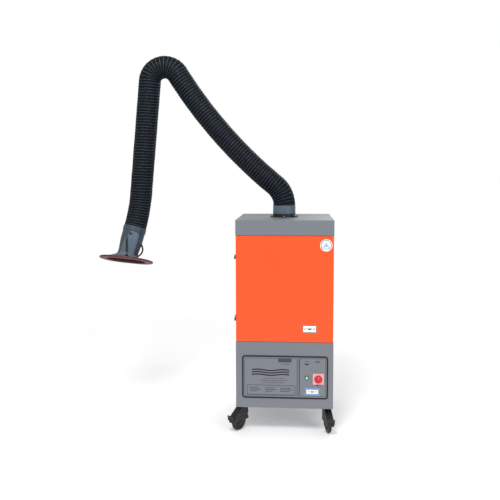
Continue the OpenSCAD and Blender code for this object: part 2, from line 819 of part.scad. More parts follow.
// Top plates with a bearing boss and kingpin, one for each front castor
module front_castor_heads() {
  color(bright_steel) for (x = [-castor_x, castor_x]) translate([x, castor_front_y, 0]) {
    translate([-castor_plate / 2, -castor_plate / 2, castor_top]) cube([castor_plate, castor_plate, castor_plate_t]);
    translate([0, 0, crown_top + free_gap]) cylinder(h = castor_top - crown_top - free_gap, r = crown_r - 3);
    translate([0, 0, crown_top - crown_t + 2]) cylinder(h = crown_t, r = kingpin_r);
  }
}

// The outline of a cheek: a round boss at the axle, the upper half of the hood, and a rise to the crown
module cheek_shape() {
  boss = 22;
  rim_r = wheel_d / 2 + hood_gap + hood_wall;
  translate([trail, axle_z]) circle(boss);
  intersection() {
    translate([trail, axle_z]) circle(rim_r, $fn = 96);
    translate([trail - 2 * rim_r, axle_z + 5]) square([4 * rim_r, 2 * rim_r]);
  }
  polygon([
    [-crown_r, crown_top - crown_t - 45], [-crown_r, crown_top], [crown_r, crown_top],
    [trail + rim_r * sin(35), axle_z + rim_r * cos(35)], [trail, axle_z + 10]
  ]);
}

// Hooded swivel housing with its axle, at the origin and trailing towards +X
module castor_housing_shape() {
  half = wheel_w / 2 + cheek_gap;
  shell_r = wheel_d / 2 + hood_gap;
  difference() {
    union() {
      for (s = [-1, 1]) translate([0, s * (half + cheek_t / 2) + cheek_t / 2, 0]) rotate([90, 0, 0])
        linear_extrude(cheek_t) cheek_shape();
      translate([0, half, 0]) rotate([90, 0, 0]) linear_extrude(2 * half) difference() {
        cheek_shape();
        translate([trail, axle_z]) circle(shell_r);
      }
      translate([trail, 0, axle_z]) rotate([90, 0, 0]) cylinder(h = 2 * half + 2 * cheek_t + 8, r = axle_r, center = true);
      for (s = [-1, 1]) translate([trail, s * (half + cheek_t + 2), axle_z]) rotate([90, 0, 0])
        cylinder(h = 4, r = 10, center = true, $fn = 6);
      brake_place() for (s = [-1, 1]) translate([-9, s * (half - 3) - 3, -8]) cube([14, 6, 16]);
    }
    translate([0, 0, crown_top - crown_t - cut]) cylinder(h = crown_t + 2 * cut, r = kingpin_r + run_fit);
    brake_place() rotate([90, 0, 0]) cylinder(h = 4 * half, r = brake_pin_r + run_fit, center = true);
  }
}

brake_pin_r = 3;

// The brake's pivot, outside the hood
module brake_place() {
  translate([trail + brake_r * cos(brake_rise), 0, axle_z + brake_r * sin(brake_rise)]) children();
}

// Rocker pedal with an upper and a lower lobe, and its pin
module castor_brake_shape() {
  half = wheel_w / 2 + cheek_gap - 6 - free_gap;
  wide = half + cheek_t + 8;
  brake_place() {
    rotate([90, 0, 0]) cylinder(h = 2 * half, r = 7, center = true);
    rotate([90, 0, 0]) cylinder(h = 2 * half + 12, r = brake_pin_r, center = true);
    translate([2, -half, -4]) cube([14, 2 * half, 8]);
    translate([9, -wide, -17]) rotate([0, -12, 0]) cube([6, 2 * wide, 17]);
    translate([7, -wide, 0]) rotate([0, 18, 0]) cube([6, 2 * wide, 18]);
  }
}

// Wheel with a moulded rim, tread and bore, its axis along Y through the axle
module wheel_shape() {
  r = wheel_d / 2;
  half = wheel_w / 2;
  tread = 12;
  web = 6;
  hub = 16;
  profile = [
    [axle_r + run_fit, -half], [hub, -half], [hub + 3, -web], [r - tread - 6, -web], [r - tread, -half + 2],
    [r - 5, -half + 2], [r - 1.5, -half + 6], [r, -half + 12], [r, half - 12], [r - 1.5, half - 6],
    [r - 5, half - 2], [r - tread, half - 2], [r - tread - 6, web], [hub + 3, web], [hub, half], [axle_r + run_fit, half]
  ];
  rotate([90, 0, 0]) rotate_extrude($fn = 96) polygon(profile);
}

module left_place() {
  translate([-castor_x, castor_front_y, 0]) rotate([0, 0, left_castor_yaw]) children();
}

module right_place() {
  translate([castor_x, castor_front_y, 0]) rotate([0, 0, right_castor_yaw]) children();
}

module left_castor_housing() {
  color(black_plastic) left_place() castor_housing_shape();
}

module right_castor_housing() {
  color(black_plastic) right_place() castor_housing_shape();
}

module left_castor_wheel() {
  color(black_plastic) left_place() translate([trail, 0, axle_z]) wheel_shape();
}

module right_castor_wheel() {
  color(black_plastic) right_place() translate([trail, 0, axle_z]) wheel_shape();
}

module left_castor_brake() {
  color(black_plastic) left_place() castor_brake_shape();
}

module right_castor_brake() {
  color(black_plastic) right_place() castor_brake_shape();
}

// Fixed forks with their axles, one for each rear wheel
module rear_castor_forks() {
  half = wheel_w / 2 + cheek_gap;
  color(black_plastic) for (x = [-castor_x, castor_x]) translate([x, castor_rear_y, 0]) {
    translate([-castor_plate / 2, -castor_plate / 2, castor_top]) cube([castor_plate, castor_plate, castor_plate_t]);
    for (s = [-1, 1]) translate([s * (half + cheek_t / 2) - cheek_t / 2, 0, 0]) rotate([90, 0, 90]) linear_extrude(cheek_t) {
      translate([0, axle_z]) circle(18);
      polygon([[-18, axle_z], [-38, castor_top], [38, castor_top], [18, axle_z]]);
    }
    translate([0, 0, axle_z]) rotate([0, 90, 0]) cylinder(h = 2 * half + 2 * cheek_t + 12, r = axle_r, center = true);
  }
}

module rear_wheel(x) {
  color(black_plastic) translate([x, castor_rear_y, axle_z]) rotate([0, 0, 90]) wheel_shape();
}

module rear_left_wheel() {
  rear_wheel(-castor_x);
}

module rear_right_wheel() {
  rear_wheel(castor_x);
}

// ---------- Arm base and rotary collar ----------

foot_bolt_r = 4;
foot_bolt_at = 94;
collar_low = cab_top + base_h;
ledge_z = collar_low + 22;
ledge_t = 5;

module foot_places() {
  for (i = [0:foot_count - 1]) translate([duct_x, 0, 0]) rotate([0, 0, (i + 0.5) * 360 / foot_count])
    translate([foot_bolt_at, 0, 0]) children();
}

// Cast ring bolted to the roof by six feet, with the spigot that the collar turns on
module arm_base() {
  wall_r = hose_r + 2;
  inner = spigot_r - spigot_wall;
  gusset_t = 5;
  color(black_plastic) difference() {
    union() {
      translate([duct_x, 0, cab_top]) {
        cylinder(h = base_h - collar_gap, r = wall_r);
        cylinder(h = ledge_z - cab_top - loose_fit, r = spigot_r);
      }
      for (i = [0:foot_count - 1]) translate([duct_x, 0, cab_top]) rotate([0, 0, (i + 0.5) * 360 / foot_count]) {
        translate([wall_r - 5, -foot_w / 2, 0]) cube([base_flange_r - wall_r + 5, foot_w, foot_t]);
        for (s = [-1, 1]) translate([wall_r - 2, s * (foot_w / 2 - gusset_t / 2) + gusset_t / 2, 0]) rotate([90, 0, 0])
          linear_extrude(gusset_t) polygon([[0, 0], [base_flange_r - wall_r, 0], [0, base_h - collar_gap - 3]]);
      }
    }
    translate([duct_x, 0, cab_top - cut]) cylinder(h = ledge_z - cab_top + 2 * cut, r = inner);
    foot_places() translate([0, 0, cab_top - cut]) cylinder(h = foot_t + 2 * cut, r = foot_bolt_r + loose_fit);
    foot_places() translate([0, 0, cab_top + foot_t]) cylinder(h = base_h, r = 6.2);
  }
}

module arm_base_bolts() {
  color(bright_steel) foot_places() {
    translate([0, 0, cab_top - 10]) cylinder(h = 10 + foot_t, r = foot_bolt_r);
    translate([0, 0, cab_top + foot_t]) cylinder(h = 5, r = 5.9, $fn = 6);
  }
}

// Collar that turns on the base: a socket below, a ledge inside, and a spigot for the hose above
module rotary_collar() {
  socket = spigot_r + run_fit;
  top = hose_start_z;
  inner = spigot_r - spigot_wall;
  profile = [
    [socket, collar_low], [hose_r + 1, collar_low], [hose_r + 1, top - 3], [hose_r - 1, top], [spigot_r, top],
    [spigot_r, top + 27], [inner, top + 27], [inner, ledge_z + ledge_t], [inner - 8, ledge_z + ledge_t],
    [inner - 8, ledge_z], [socket, ledge_z]
  ];
  color(slate) translate([duct_x, 0, 0]) rotate_extrude($fn = 96) polygon(profile);
}

// Bridge across the collar's ledge, with two cheeks and the shoulder's pin
module shoulder_yoke() {
  inner = spigot_r - spigot_wall;
  z = ledge_z + ledge_t;
  half = 26;
  cheek_y = link_r + free_gap + bar_t / 2;
  color(bright_steel) {
    intersection() {
      translate([duct_x, 0, z]) cylinder(h = 6, r = inner - loose_fit);
      block([duct_x - inner, -half, z], [duct_x + inner, half, z + 6]);
    }
    for (s = [-1, 1]) translate([0, s * cheek_y, 0])
      flat_bar([duct_x, 0, z + bar_w / 2], shoulder_pivot, bar_w, bar_t);
    cross_pin(shoulder_pivot, pin_r, 2 * (cheek_y + bar_t));
  }
}

// ---------- Links inside the hose ----------

// Tube from the shoulder's pin to the elbow fork and its pin
module lower_arm_link() {
  fork_y = link_r - 1;
  color(bright_steel) difference() {
    union() {
      cross_pin(shoulder_pivot, knuckle_r, 2 * link_r + 1);
      rod(shoulder_pivot, link_knee, link_r - 1);
      cross_pin(link_knee, link_r + 3, 2 * link_r + 3);
      for (s = [-1, 1]) translate([0, s * fork_y, 0]) flat_bar(link_knee, elbow_pivot, bar_w, bar_t);
      cross_pin(elbow_pivot, pin_r, 2 * (fork_y + bar_t));
    }
    cross_pin(shoulder_pivot, pin_r + run_fit, 4 * link_r);
  }
}

wrist_sleeve_low = 24;
wrist_sleeve_len = 30;

// Knuckle at the elbow, a knee, and a tube down to the sleeve of the wrist's swivel
module forearm_link() {
  eye_t = 2 * (link_r - 1 - bar_t / 2 - free_gap);
  sleeve_top = wrist_pivot - (wrist_sleeve_low + wrist_sleeve_len) * forearm_way;
  color(bright_steel) difference() {
    union() {
      flat_bar(elbow_pivot, forearm_knee, bar_w, eye_t);
      cross_pin(forearm_knee, link_r + 2, 2 * link_r - 6);
      rod(forearm_knee, sleeve_top, link_r - 1);
      wrist_frame() translate([0, 0, wrist_sleeve_low]) cylinder(h = wrist_sleeve_len, r = knuckle_r);
    }
    cross_pin(elbow_pivot, pin_r + run_fit, 4 * link_r);
    wrist_frame() translate([0, 0, wrist_sleeve_low - cut]) cylinder(h = wrist_sleeve_len + cut - 4, r = pin_r + run_fit);
  }
}

// Swivel pin in the forearm's sleeve, over a fork with the hood's hinge pin
module wrist_link() {
  fork_y = 9 + free_gap + bar_t / 2;
  top = wrist_sleeve_low - free_gap;
  color(bright_steel) wrist_frame() {
    translate([0, 0, top]) cylinder(h = wrist_sleeve_len - 6, r = pin_r);
    translate([0, 0, top - 5]) cylinder(h = 5, r = fork_y + bar_t);
    for (s = [-1, 1]) translate([0, s * fork_y, 0]) flat_bar([0, 0, 0], [0, 0, top - bar_w / 2], bar_w, bar_t);
    cross_pin([0, 0, 0], pin_r, 2 * (fork_y + bar_t));
  }
}

// ---------- Hose ----------

module hose_shoulder() {
  color(hose_black) hose_stretch(0, s_shoulder - hose_gap, 8);
}

module hose_lower() {
  color(hose_black) hose_stretch(s_shoulder, s_elbow_start - hose_gap, 12);
}

module hose_elbow() {
  color(hose_black) hose_stretch(s_elbow_start, s_elbow_end - hose_gap, 18);
}

module hose_upper() {
  color(hose_black) hose_stretch(s_elbow_end, s_forearm_end - hose_gap, 2);
}

module hose_wrist() {
  steps = 6;
  shares = [for (i = [0:steps]) (i < steps) ? i / steps : 1 - hose_gap / wrist_len];
  color(hose_black)
    ring_tube([for (share = shares) wrist_ring(share, hose_r)], [for (share = shares) wrist_ring(share, bore_r)]);
}

// ---------- Hood ----------

// Neck tube with a spigot in the hose, a cuff, and the bridge and eye of the tilt hinge
module hood_neck() {
  inner = neck_r - neck_wall;
  spigot = 28;
  profile = [
    [inner, -neck_len], [neck_r, -neck_len], [neck_r, -cuff_len], [neck_r + 3, -cuff_len + 2], [neck_r + 3, -2],
    [neck_r + 1, 0], [spigot_r, 0], [spigot_r, spigot], [spigot_r - spigot_wall, spigot],
    [spigot_r - spigot_wall, 0], [inner, -10]
  ];
  color(slate) difference() {
    union() {
      hood_frame() rotate_extrude($fn = 96) polygon(profile);
      hood_hinge_frame() {
        translate([-spigot_r + 2, -8, -wrist_reach + bridge_z]) cube([2 * spigot_r - 4, 16, 8]);
        translate([0, 0, -wrist_reach + bridge_z]) cylinder(h = wrist_reach - bridge_z, r = 8);
        rotate([90, 0, 0]) cylinder(h = 18, r = knuckle_r, center = true);
      }
    }
    hood_hinge_frame() rotate([90, 0, 0]) cylinder(h = 60, r = pin_r + run_fit, center = true);
    hood_frame() translate([0, 0, damper_z]) rotate([90, 0, 0]) cylinder(h = 4 * neck_r, r = shaft_r + run_fit, center = true);
  }
}

shell_sides = 48;
// Half width and half depth of the shell at a share of its length: a slight waist that flares to the mouth
cone_growth = -12;
function flare(share) = pow(share, 12);
function shell_half(share, grow) = [
  neck_r + cone_growth * share + (mouth_w / 2 - neck_r - cone_growth) * flare(share) + grow,
  neck_r + cone_growth * share + (mouth_d / 2 - neck_r - cone_growth) * flare(share) + grow
];
// A ring of the shell at a level, tilted more and more towards the mouth's slant
function shell_ring(share, level, grow) =
  let (h = shell_half(share, grow), slope = tan(mouth_slant) * flare(share))
  [for (a = [0:360 / shell_sides:359]) [h[0] * cos(a), h[1] * sin(a), level + h[0] * cos(a) * slope]];

// Flared shell from the round neck to the oblong mouth
module hood_shell() {
  steps = 9;
  lip = 3;
  drop = shell_len - lip;
  shares = [for (i = [0:steps]) sin(90 * i / steps)];
  outer = [for (s = shares) shell_ring(s, shell_wall * flare(s) - neck_len - s * drop, 0)];
  inner = [for (s = shares) shell_ring(s, -neck_len - s * drop, -shell_wall)];
  color(slate) hood_frame() ring_tube(
    concat(outer, [shell_ring(1, rim_z, 0)]), concat(inner, [shell_ring(1, rim_z, -shell_wall)]), shell_sides);
}

// The plane of the mouth, which slants across the hood's axis
module mouth_frame() {
  hood_frame() translate([0, 0, rim_z]) rotate([0, -mouth_slant, 0]) children();
}

// Oblong rim round the mouth
module hood_rim() {
  color(rim_red) mouth_frame() translate([0, 0, -rim_t]) linear_extrude(rim_t) difference() {
    oblong(rim_w, rim_d);
    oblong(mouth_w - 12, mouth_d - 12);
  }
}

// Bar grid in the mouth that keeps rags out of the duct
module hood_grid() {
  w = mouth_w - 12.6;
  d = mouth_d - 12.6;
  band = 5;
  bar = 3;
  pitch = 28;
  color(bright_steel) mouth_frame() translate([0, 0, 4 - rim_t]) linear_extrude(bar) {
    difference() {
      oblong(w, d);
      oblong(w - 2 * band, d - 2 * band);
    }
    intersection() {
      oblong(w - band, d - band);
      union() {
        for (x = [-4 * pitch:pitch:4 * pitch]) translate([x, 0]) square([bar, mouth_d], center = true);
        for (y = [-3 * pitch:pitch:3 * pitch]) translate([0, y]) square([mouth_w, bar], center = true);
      }
    }
  }
}

// Bow handle on the hood's right side
module hood_handle() {
  bow_r = 52;
  bow_rise = 30;
  bar_r = 6;
  share = 0.45;
  foot_x = shell_half(share, 0)[0] - shell_wall / 2;
  slope = atan(cone_growth / shell_len);
  color(black_plastic) hood_frame() translate([foot_x, 0, -neck_len - share * shell_len]) rotate([0, -slope, 0])
    intersection() {
      translate([bow_rise - bow_r - bar_r, 0, 0]) rotate([90, 0, 0]) rotate_extrude() translate([bow_r, 0]) circle(bar_r, $fn = 24);
      translate([0, -bar_r - cut, -2 * bow_r]) cube([2 * bow_r, 2 * bar_r + 2 * cut, 4 * bow_r]);
    }
}

// Butterfly flap on its shaft, standing open, with a lever behind and a pivot head in front
module damper_flap() {
  head_r = 10;
  head_t = 5;
  lever_y = neck_r + 4;
  arm_len = 46;
  color(black_plastic) hood_frame() translate([0, 0, damper_z]) {
    rotate([0, 90, 0]) cylinder(h = 2, r = damper_r, center = true);
    rotate([90, 0, 0]) cylinder(h = 2 * (lever_y + 1), r = shaft_r, center = true);
    translate([0, -neck_r - 1, 0]) rotate([90, 0, 0]) cylinder(h = head_t, r = head_r);
    translate([0, lever_y + head_t, 0]) rotate([90, 0, 0]) cylinder(h = head_t, r = head_r);
    translate([-head_r / 2, lever_y, -arm_len]) cube([head_r, head_t, arm_len]);
  }
}

base_frame();
left_panel();
right_panel();
back_panel();
roof_panel();
lower_front_panel();
partition_plate();
filter_rails();
filter_cartridge();
pre_filter();
fan_housing();
fan_motor();
fan_impeller();
silencer_foam();
outlet_grille();
control_box();
control_frame();
control_plate();
indicator_lamp();
switch_plate();
switch_knob();
cable_gland();
panel_screws();
door();
door_seal();
hinge_pins();
latch_bases();
latch_catches();
upper_latch_lever();
lower_latch_lever();
upper_latch_bail();
lower_latch_bail();
front_castor_heads();
left_castor_housing();
right_castor_housing();
left_castor_wheel();
right_castor_wheel();
left_castor_brake();
right_castor_brake();
rear_castor_forks();
rear_left_wheel();
rear_right_wheel();
arm_base();
arm_base_bolts();
rotary_collar();
shoulder_yoke();
hose_shoulder();
lower_arm_link();
hose_lower();
hose_elbow();
forearm_link();
hose_upper();
wrist_link();
hose_wrist();
hood_neck();
hood_shell();
hood_rim();
hood_grid();
hood_handle();
damper_flap();
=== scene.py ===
# %% [markdown]
# # A mobile fume filter unit with a hose arm
# The real unit is a sheet-steel cabinet on four castors. A fan in its foot pulls air through a hose arm,
# a hood and a filter. Its frame is designed elsewhere, as exact solids with joints. This lesson adds what
# a frame can't show: folded edges, ribbed fabric, moulded plastic, printed lines and honest materials.
# Each solid of the frame arrives as a mesh in metres, already in its place, so we never move one.

# %% Load the frame
import json
import math

import bmesh
import bpy
import numpy as np
from mathutils import Matrix, Vector, noise


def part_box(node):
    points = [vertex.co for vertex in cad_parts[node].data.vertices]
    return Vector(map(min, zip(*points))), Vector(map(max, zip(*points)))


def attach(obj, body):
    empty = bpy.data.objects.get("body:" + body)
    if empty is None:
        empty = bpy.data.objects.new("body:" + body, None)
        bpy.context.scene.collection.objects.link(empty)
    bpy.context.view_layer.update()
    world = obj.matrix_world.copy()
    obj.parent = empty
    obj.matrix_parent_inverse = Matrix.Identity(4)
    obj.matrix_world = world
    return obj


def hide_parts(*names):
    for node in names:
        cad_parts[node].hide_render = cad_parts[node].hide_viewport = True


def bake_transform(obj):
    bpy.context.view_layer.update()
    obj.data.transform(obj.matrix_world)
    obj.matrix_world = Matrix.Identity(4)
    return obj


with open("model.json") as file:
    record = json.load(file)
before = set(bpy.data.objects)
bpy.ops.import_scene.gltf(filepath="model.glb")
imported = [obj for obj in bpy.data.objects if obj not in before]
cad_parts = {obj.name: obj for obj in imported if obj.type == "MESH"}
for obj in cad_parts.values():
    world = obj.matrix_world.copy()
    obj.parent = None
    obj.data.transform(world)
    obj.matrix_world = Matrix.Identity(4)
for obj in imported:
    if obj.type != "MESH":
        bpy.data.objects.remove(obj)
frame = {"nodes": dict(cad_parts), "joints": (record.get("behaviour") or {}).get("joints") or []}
nodes = frame["nodes"]
joints = {joint["name"]: joint for joint in frame["joints"]}
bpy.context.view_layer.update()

# %% [markdown]
# # The camera
# A product picture is taken from a few metres away with a slightly long lens, at eye height, looking down
# a little. Far away and long keeps the cabinet's upright edges nearly parallel, as a buyer expects. The
# small shift is what a view camera does: it frames the tall arm without tilting the cabinet further.

# %% Place the camera
EYE = Vector((0.064, -4.252, 1.756))
PITCH, YAW, ROLL = 85.45, 3.9, 0.14

lens_holder = bpy.data.cameras.new("camera")
lens_holder.sensor_width = 36
lens_holder.lens = 42.9
lens_holder.shift_x = -0.0074
lens_holder.shift_y = -0.0574
camera = bpy.data.objects.new("camera", lens_holder)
camera.location = EYE
camera.rotation_euler = [math.radians(angle) for angle in (PITCH, ROLL, YAW)]
bpy.context.scene.collection.objects.link(camera)
bpy.context.scene.camera = camera
print("the camera stands", round(EYE.length, 2), "m from the cabinet's foot")

# %% [markdown]
# # Shader expressions
# A Blender material is a network of nodes. Written one node and one link at a time, a short formula fills a
# page. A small class helps: it wraps an output socket and gives it Python's operators, so that
# `1 - mask * 0.5` adds the Math nodes by itself. Colours never go through Math nodes, which would turn them
# grey. They go through Mix instead. Every other node comes from one method, which sets a node's options
# first, because some options change which sockets the node has.

# %% A socket that behaves like a number
class Signal:
    """A socket that can be used in sums, products and comparisons."""

    def __init__(self, finish, socket):
        self.finish = finish
        self.socket = socket

    def math(self, operation, first, second):
        return self.finish.node("ShaderNodeMath", {"operation": operation}, {0: first, 1: second})

    def __add__(self, other):
        return self.math("ADD", self, other)

    def __sub__(self, other):
        return self.math("SUBTRACT", self, other)

    def __rsub__(self, other):
        return self.math("SUBTRACT", other, self)

    def __mul__(self, other):
        return self.math("MULTIPLY", self, other)

    def __truediv__(self, other):
        return self.math("DIVIDE", self, other)

    def wave(self):
        """The sine of the signal, moved into 0 to 1."""
        return self.math("SINE", self, 0.0) * 0.5 + 0.5

    def between_crests(self):
        """How far the signal is from the nearest whole number, from 0 to 1 at the middle."""
        return self.math("PINGPONG", self, 0.5) * 2

    __radd__ = __add__
    __rmul__ = __mul__


# %% [markdown]
# # A finish as an object
# Every finish starts the same way: a new material with its shader, constants set straight on the shader's
# sockets, and then patterns. One class holds that start, and gives the patterns that come back again and
# again short names: where a point lies, soft noise, a mix of two colours, rubbed edges, small relief.

# %% A material under construction
def linear(red, green, blue):
    """A colour as a colour card gives it, from 0 to 255, turned into the shader's linear light."""
    card = (red / 255, green / 255, blue / 255)
    return tuple(c / 12.92 if c <= 0.04045 else ((c + 0.055) / 1.055) ** 2.4 for c in card) + (1,)


class Finish:
    """One material: its nodes, its shader, and short names for the patterns that this unit needs."""

    def __init__(self, name, **constants):
        self.material = bpy.data.materials.new(name)
        self.material.use_nodes = True
        self.tree = self.material.node_tree
        self.shader = self.tree.nodes["Principled BSDF"]
        for socket, value in constants.items():
            self.shader.inputs[socket.replace("_", " ")].default_value = value

    def node(self, kind, settings, inputs, output=0):
        """Adds a node: first its settings, then its sockets' values or links. Returns one output."""
        made = self.tree.nodes.new(kind)
        for setting, value in settings.items():
            if setting == "stops":
                while len(made.color_ramp.elements) < len(value):
                    made.color_ramp.elements.new(0.5)
                for element, (place, level) in zip(made.color_ramp.elements, value):
                    element.position = place
                    element.color = (level, level, level, 1)
            else:
                setattr(made, setting, value)
        for key, value in inputs.items():
            if isinstance(value, Signal):
                self.tree.links.new(value.socket, made.inputs[key])
            else:
                made.inputs[key].default_value = value
        return Signal(self, made.outputs[output])

    def feed(self, socket, signal):
        """Links a signal to one of the shader's own sockets."""
        self.tree.links.new(signal.socket, self.shader.inputs[socket])

    def place(self):
        """Where a point lies on the piece, in metres; it stays on the piece when the piece moves."""
        return self.node("ShaderNodeTexCoord", {}, {}, "Object")

    def stretched(self, where, scale):
        """The same place with each direction scaled by its own number."""
        return self.node("ShaderNodeVectorMath", {"operation": "MULTIPLY"}, {0: where, 1: scale})

    def speckle(self, where, scale, detail=3.0):
        """Soft noise from 0 to 1, scale lumps to the metre."""
        return self.node("ShaderNodeTexNoise", {}, {"Vector": where, "Scale": scale, "Detail": detail})

    def ramp(self, signal, *stops):
        """A signal sent through a curve of straight stretches."""
        return self.node("ShaderNodeValToRGB", {"stops": stops}, {"Fac": signal})

    def mix(self, share, first, second):
        """A colour between two colours."""
        return self.node(
            "ShaderNodeMix", {"data_type": "RGBA"}, {"Factor": share, 6: first, 7: second}, 2)

    def edges(self, width):
        """1 on edges and corners within that width, 0 on open faces."""
        bevel = self.node("ShaderNodeBevel", {"samples": 4}, {"Radius": width})
        flat = self.node("ShaderNodeNewGeometry", {}, {}, "Normal")
        turn = self.node("ShaderNodeVectorMath", {"operation": "DOT_PRODUCT"}, {0: bevel, 1: flat}, "Value")
        return self.ramp(1 - turn, (0.0, 0), (0.12, 1))

    def bump(self, height, strength, distance):
        """Small relief from a height signal, fed to the normal."""
        relief = self.node(
            "ShaderNodeBump", {}, {"Height": height, "Strength": strength, "Distance": distance})
        self.feed("Normal", relief)


print("finishes can be written as formulas now")

# %% [markdown]
# # Floor and light
# A catalogue picture wants a pale floor that fades into a white room, with one soft shadow to stand on.
# We give the room an even light, and add three large soft lamps: a key from the upper left, which draws
# the highlights along the hose, a weaker fill, and one from behind that parts the cabinet from the room.
# The room itself looks whiter than the light it gives, so the sheets keep their shading against it.

# %% Light the room
room = bpy.data.worlds.new("room")
room.use_nodes = True
ROOM_LIGHT, BACKDROP = 0.56, 1.0
air = room.node_tree.nodes["Background"].inputs
air["Color"].default_value = (1, 1, 1, 1)
ray = room.node_tree.nodes.new("ShaderNodeLightPath")
level = room.node_tree.nodes.new("ShaderNodeMapRange")
level.inputs["To Min"].default_value = ROOM_LIGHT
level.inputs["To Max"].default_value = BACKDROP
room.node_tree.links.new(ray.outputs["Is Camera Ray"], level.inputs["Value"])
room.node_tree.links.new(level.outputs["Result"], air["Strength"])
bpy.context.scene.world = room
bpy.context.scene.view_settings.view_transform = "Standard"


def soft_lamp(name, place, target, size, power):
    """A square lamp that looks at its target."""
    light = bpy.data.lights.new(name, "AREA")
    light.shape = "SQUARE"
    light.size = size
    light.energy = power
    lamp = bpy.data.objects.new(name, light)
    lamp.location = place
    lamp.rotation_euler = (Vector(target) - Vector(place)).to_track_quat("-Z", "Y").to_euler()
    bpy.context.scene.collection.objects.link(lamp)


MIDDLE = (0, 0, 1.2)
soft_lamp("key", (-0.9, -3.3, 5.2), MIDDLE, 1.5, 170)
soft_lamp("fill", (3.4, -3.6, 2.4), MIDDLE, 2.4, 40)
soft_lamp("back", (1.5, 4.0, 4.0), MIDDLE, 2.4, 60)

# %% [markdown]
# # A floor without a horizon
# The floor is a wide disc a hair below the wheels. Its shader fades from pale paint to fully transparent
# with the distance from the middle, so that no line cuts through the picture where floor meets room.

# %% Lay the floor
FLOOR_R = 9.0
pale = Finish("floor_pale", Base_Color=linear(252, 252, 252), Roughness=0.7,
              Emission_Color=linear(255, 255, 255), Emission_Strength=0.16)
radius = pale.node("ShaderNodeVectorMath", {"operation": "LENGTH"}, {0: pale.place()}, "Value")
fade = pale.ramp(radius / FLOOR_R, (0.10, 0), (0.42, 1))
clear = pale.node("ShaderNodeBsdfTransparent", {}, {})
surface = pale.node(
    "ShaderNodeMixShader", {}, {0: fade, 1: Signal(pale, pale.shader.outputs[0]), 2: clear})
pale.tree.links.new(surface.socket, pale.tree.nodes["Material Output"].inputs["Surface"])

disc = bmesh.new()
bmesh.ops.create_circle(disc, cap_ends=True, segments=96, radius=FLOOR_R)
floor_mesh = bpy.data.meshes.new("floor")
disc.to_mesh(floor_mesh)
disc.free()
floor_mesh.materials.append(pale.material)
floor = bpy.data.objects.new("floor", floor_mesh)
floor.location.z = -0.0005
bpy.context.scene.collection.objects.link(floor)
print("the floor is", 2 * FLOOR_R, "m across")

# %% [markdown]
# # Powder coat
# The sheets are powder coated: the powder melts in an oven to a tough skin with a faint orange-peel
# ripple, a few millimetres from crest to crest. Ripple and a little unevenness in gloss are what tell paint
# from plain colour. Where sheets are folded the skin is thinner and rubs paler, which the edge mask finds.

# %% Grey and orange powder coat
def powder_coat(name, colour, worn):
    """Oven-baked paint of one colour, with ripple, uneven gloss and rubbed edges."""
    coat = Finish(name, Roughness=0.42, Coat_Weight=0.12, Coat_Roughness=0.25)
    where = coat.place()
    cloud = coat.speckle(where, 2.2)
    ripple = coat.speckle(where, 420, 1.0)
    dust = coat.speckle(where, 900, 0.0)
    darker = tuple(c * 0.93 for c in colour[:3]) + (1,)
    body = coat.mix(cloud, darker, colour)
    rubbed = coat.edges(0.0016) * coat.ramp(coat.speckle(where, 60), (0.45, 0), (0.6, 1)) * 0.5
    coat.feed("Base Color", coat.mix(rubbed, body, worn))
    coat.feed("Roughness", 0.38 + cloud * 0.12 + dust * 0.03)
    coat.bump(ripple, 0.12, 0.0004)
    return coat.material


GREY = linear(121, 126, 134)
ORANGE = linear(255, 86, 22)
grey_paint = powder_coat("grey_powder_coat", GREY, linear(165, 168, 172))
orange_paint = powder_coat("orange_powder_coat", ORANGE, linear(255, 140, 90))
print("two powder coats mixed")

# %% [markdown]
# # Moulded plastic and rubber
# Black housings, the slate collar and hood, and the red lip are moulded. A mould is usually etched with a
# fine grain, so the grain belongs in the bump, and the polished high spots shine a little more than the
# hollows. One function makes them all: only colour, gloss and the size of the grain differ.

# %% Plastics and rubbers
def moulded(name, colour, gloss, grain, depth, worn_share=0.3):
    """Etched plastic or rubber: a colour, its roughness, grains to the metre, and the grain's depth."""
    plastic = Finish(name, Roughness=gloss)
    where = plastic.place()
    etch = plastic.speckle(where, grain, 2.0)
    cloud = plastic.speckle(where, 9)
    paler = tuple(min(1.0, c * 1.5 + 0.012) for c in colour[:3]) + (1,)
    darker = tuple(c * 0.8 for c in colour[:3]) + (1,)
    body = plastic.mix(cloud, darker, colour)
    plastic.feed("Base Color", plastic.mix(plastic.edges(0.0015) * worn_share, body, paler))
    plastic.feed("Roughness", gloss - 0.07 + etch * 0.09 + cloud * 0.05)
    plastic.bump(etch, 0.25, depth)
    return plastic.material


black_plastic = moulded("black_plastic", linear(13, 14, 17), 0.40, 900, 0.0003)
slate_plastic = moulded("slate_plastic", linear(56, 70, 84), 0.40, 700, 0.0003)
collar_plastic = moulded("collar_plastic", linear(88, 104, 120), 0.36, 500, 0.0002)
rim_red = moulded("red_lip", linear(104, 12, 18), 0.44, 600, 0.0002)
knob_red = moulded("knob_red", linear(222, 34, 62), 0.28, 900, 0.0001, 0.5)
plate_rose = moulded("plate_rose", linear(246, 186, 178), 0.34, 800, 0.0001, 0.1)
rubber = moulded("seal_rubber", linear(14, 15, 20), 0.62, 500, 0.0003, 0.1)
tyre_rubber = moulded("tyre_rubber", linear(26, 28, 32), 0.55, 350, 0.0004, 0.2)
hub_plastic = moulded("hub_plastic", linear(22, 23, 26), 0.36, 600, 0.0002)
motor_paint = moulded("motor_paint", linear(52, 62, 74), 0.45, 260, 0.0006)
grid_black = moulded("grid_black", linear(8, 8, 10), 0.75, 900, 0.0002)
print("eleven moulded finishes made")

# %% [markdown]
# # Metal
# Bolts, links and rails are zinc plated, and the fan's scroll is galvanised sheet. Zinc plate is smooth
# with faint streaks from the barrel; galvanised sheet shows spangle, the crystals that grow as the zinc
# sets. A Voronoi texture is the usual way to draw crystals, since each cell has its own shade.

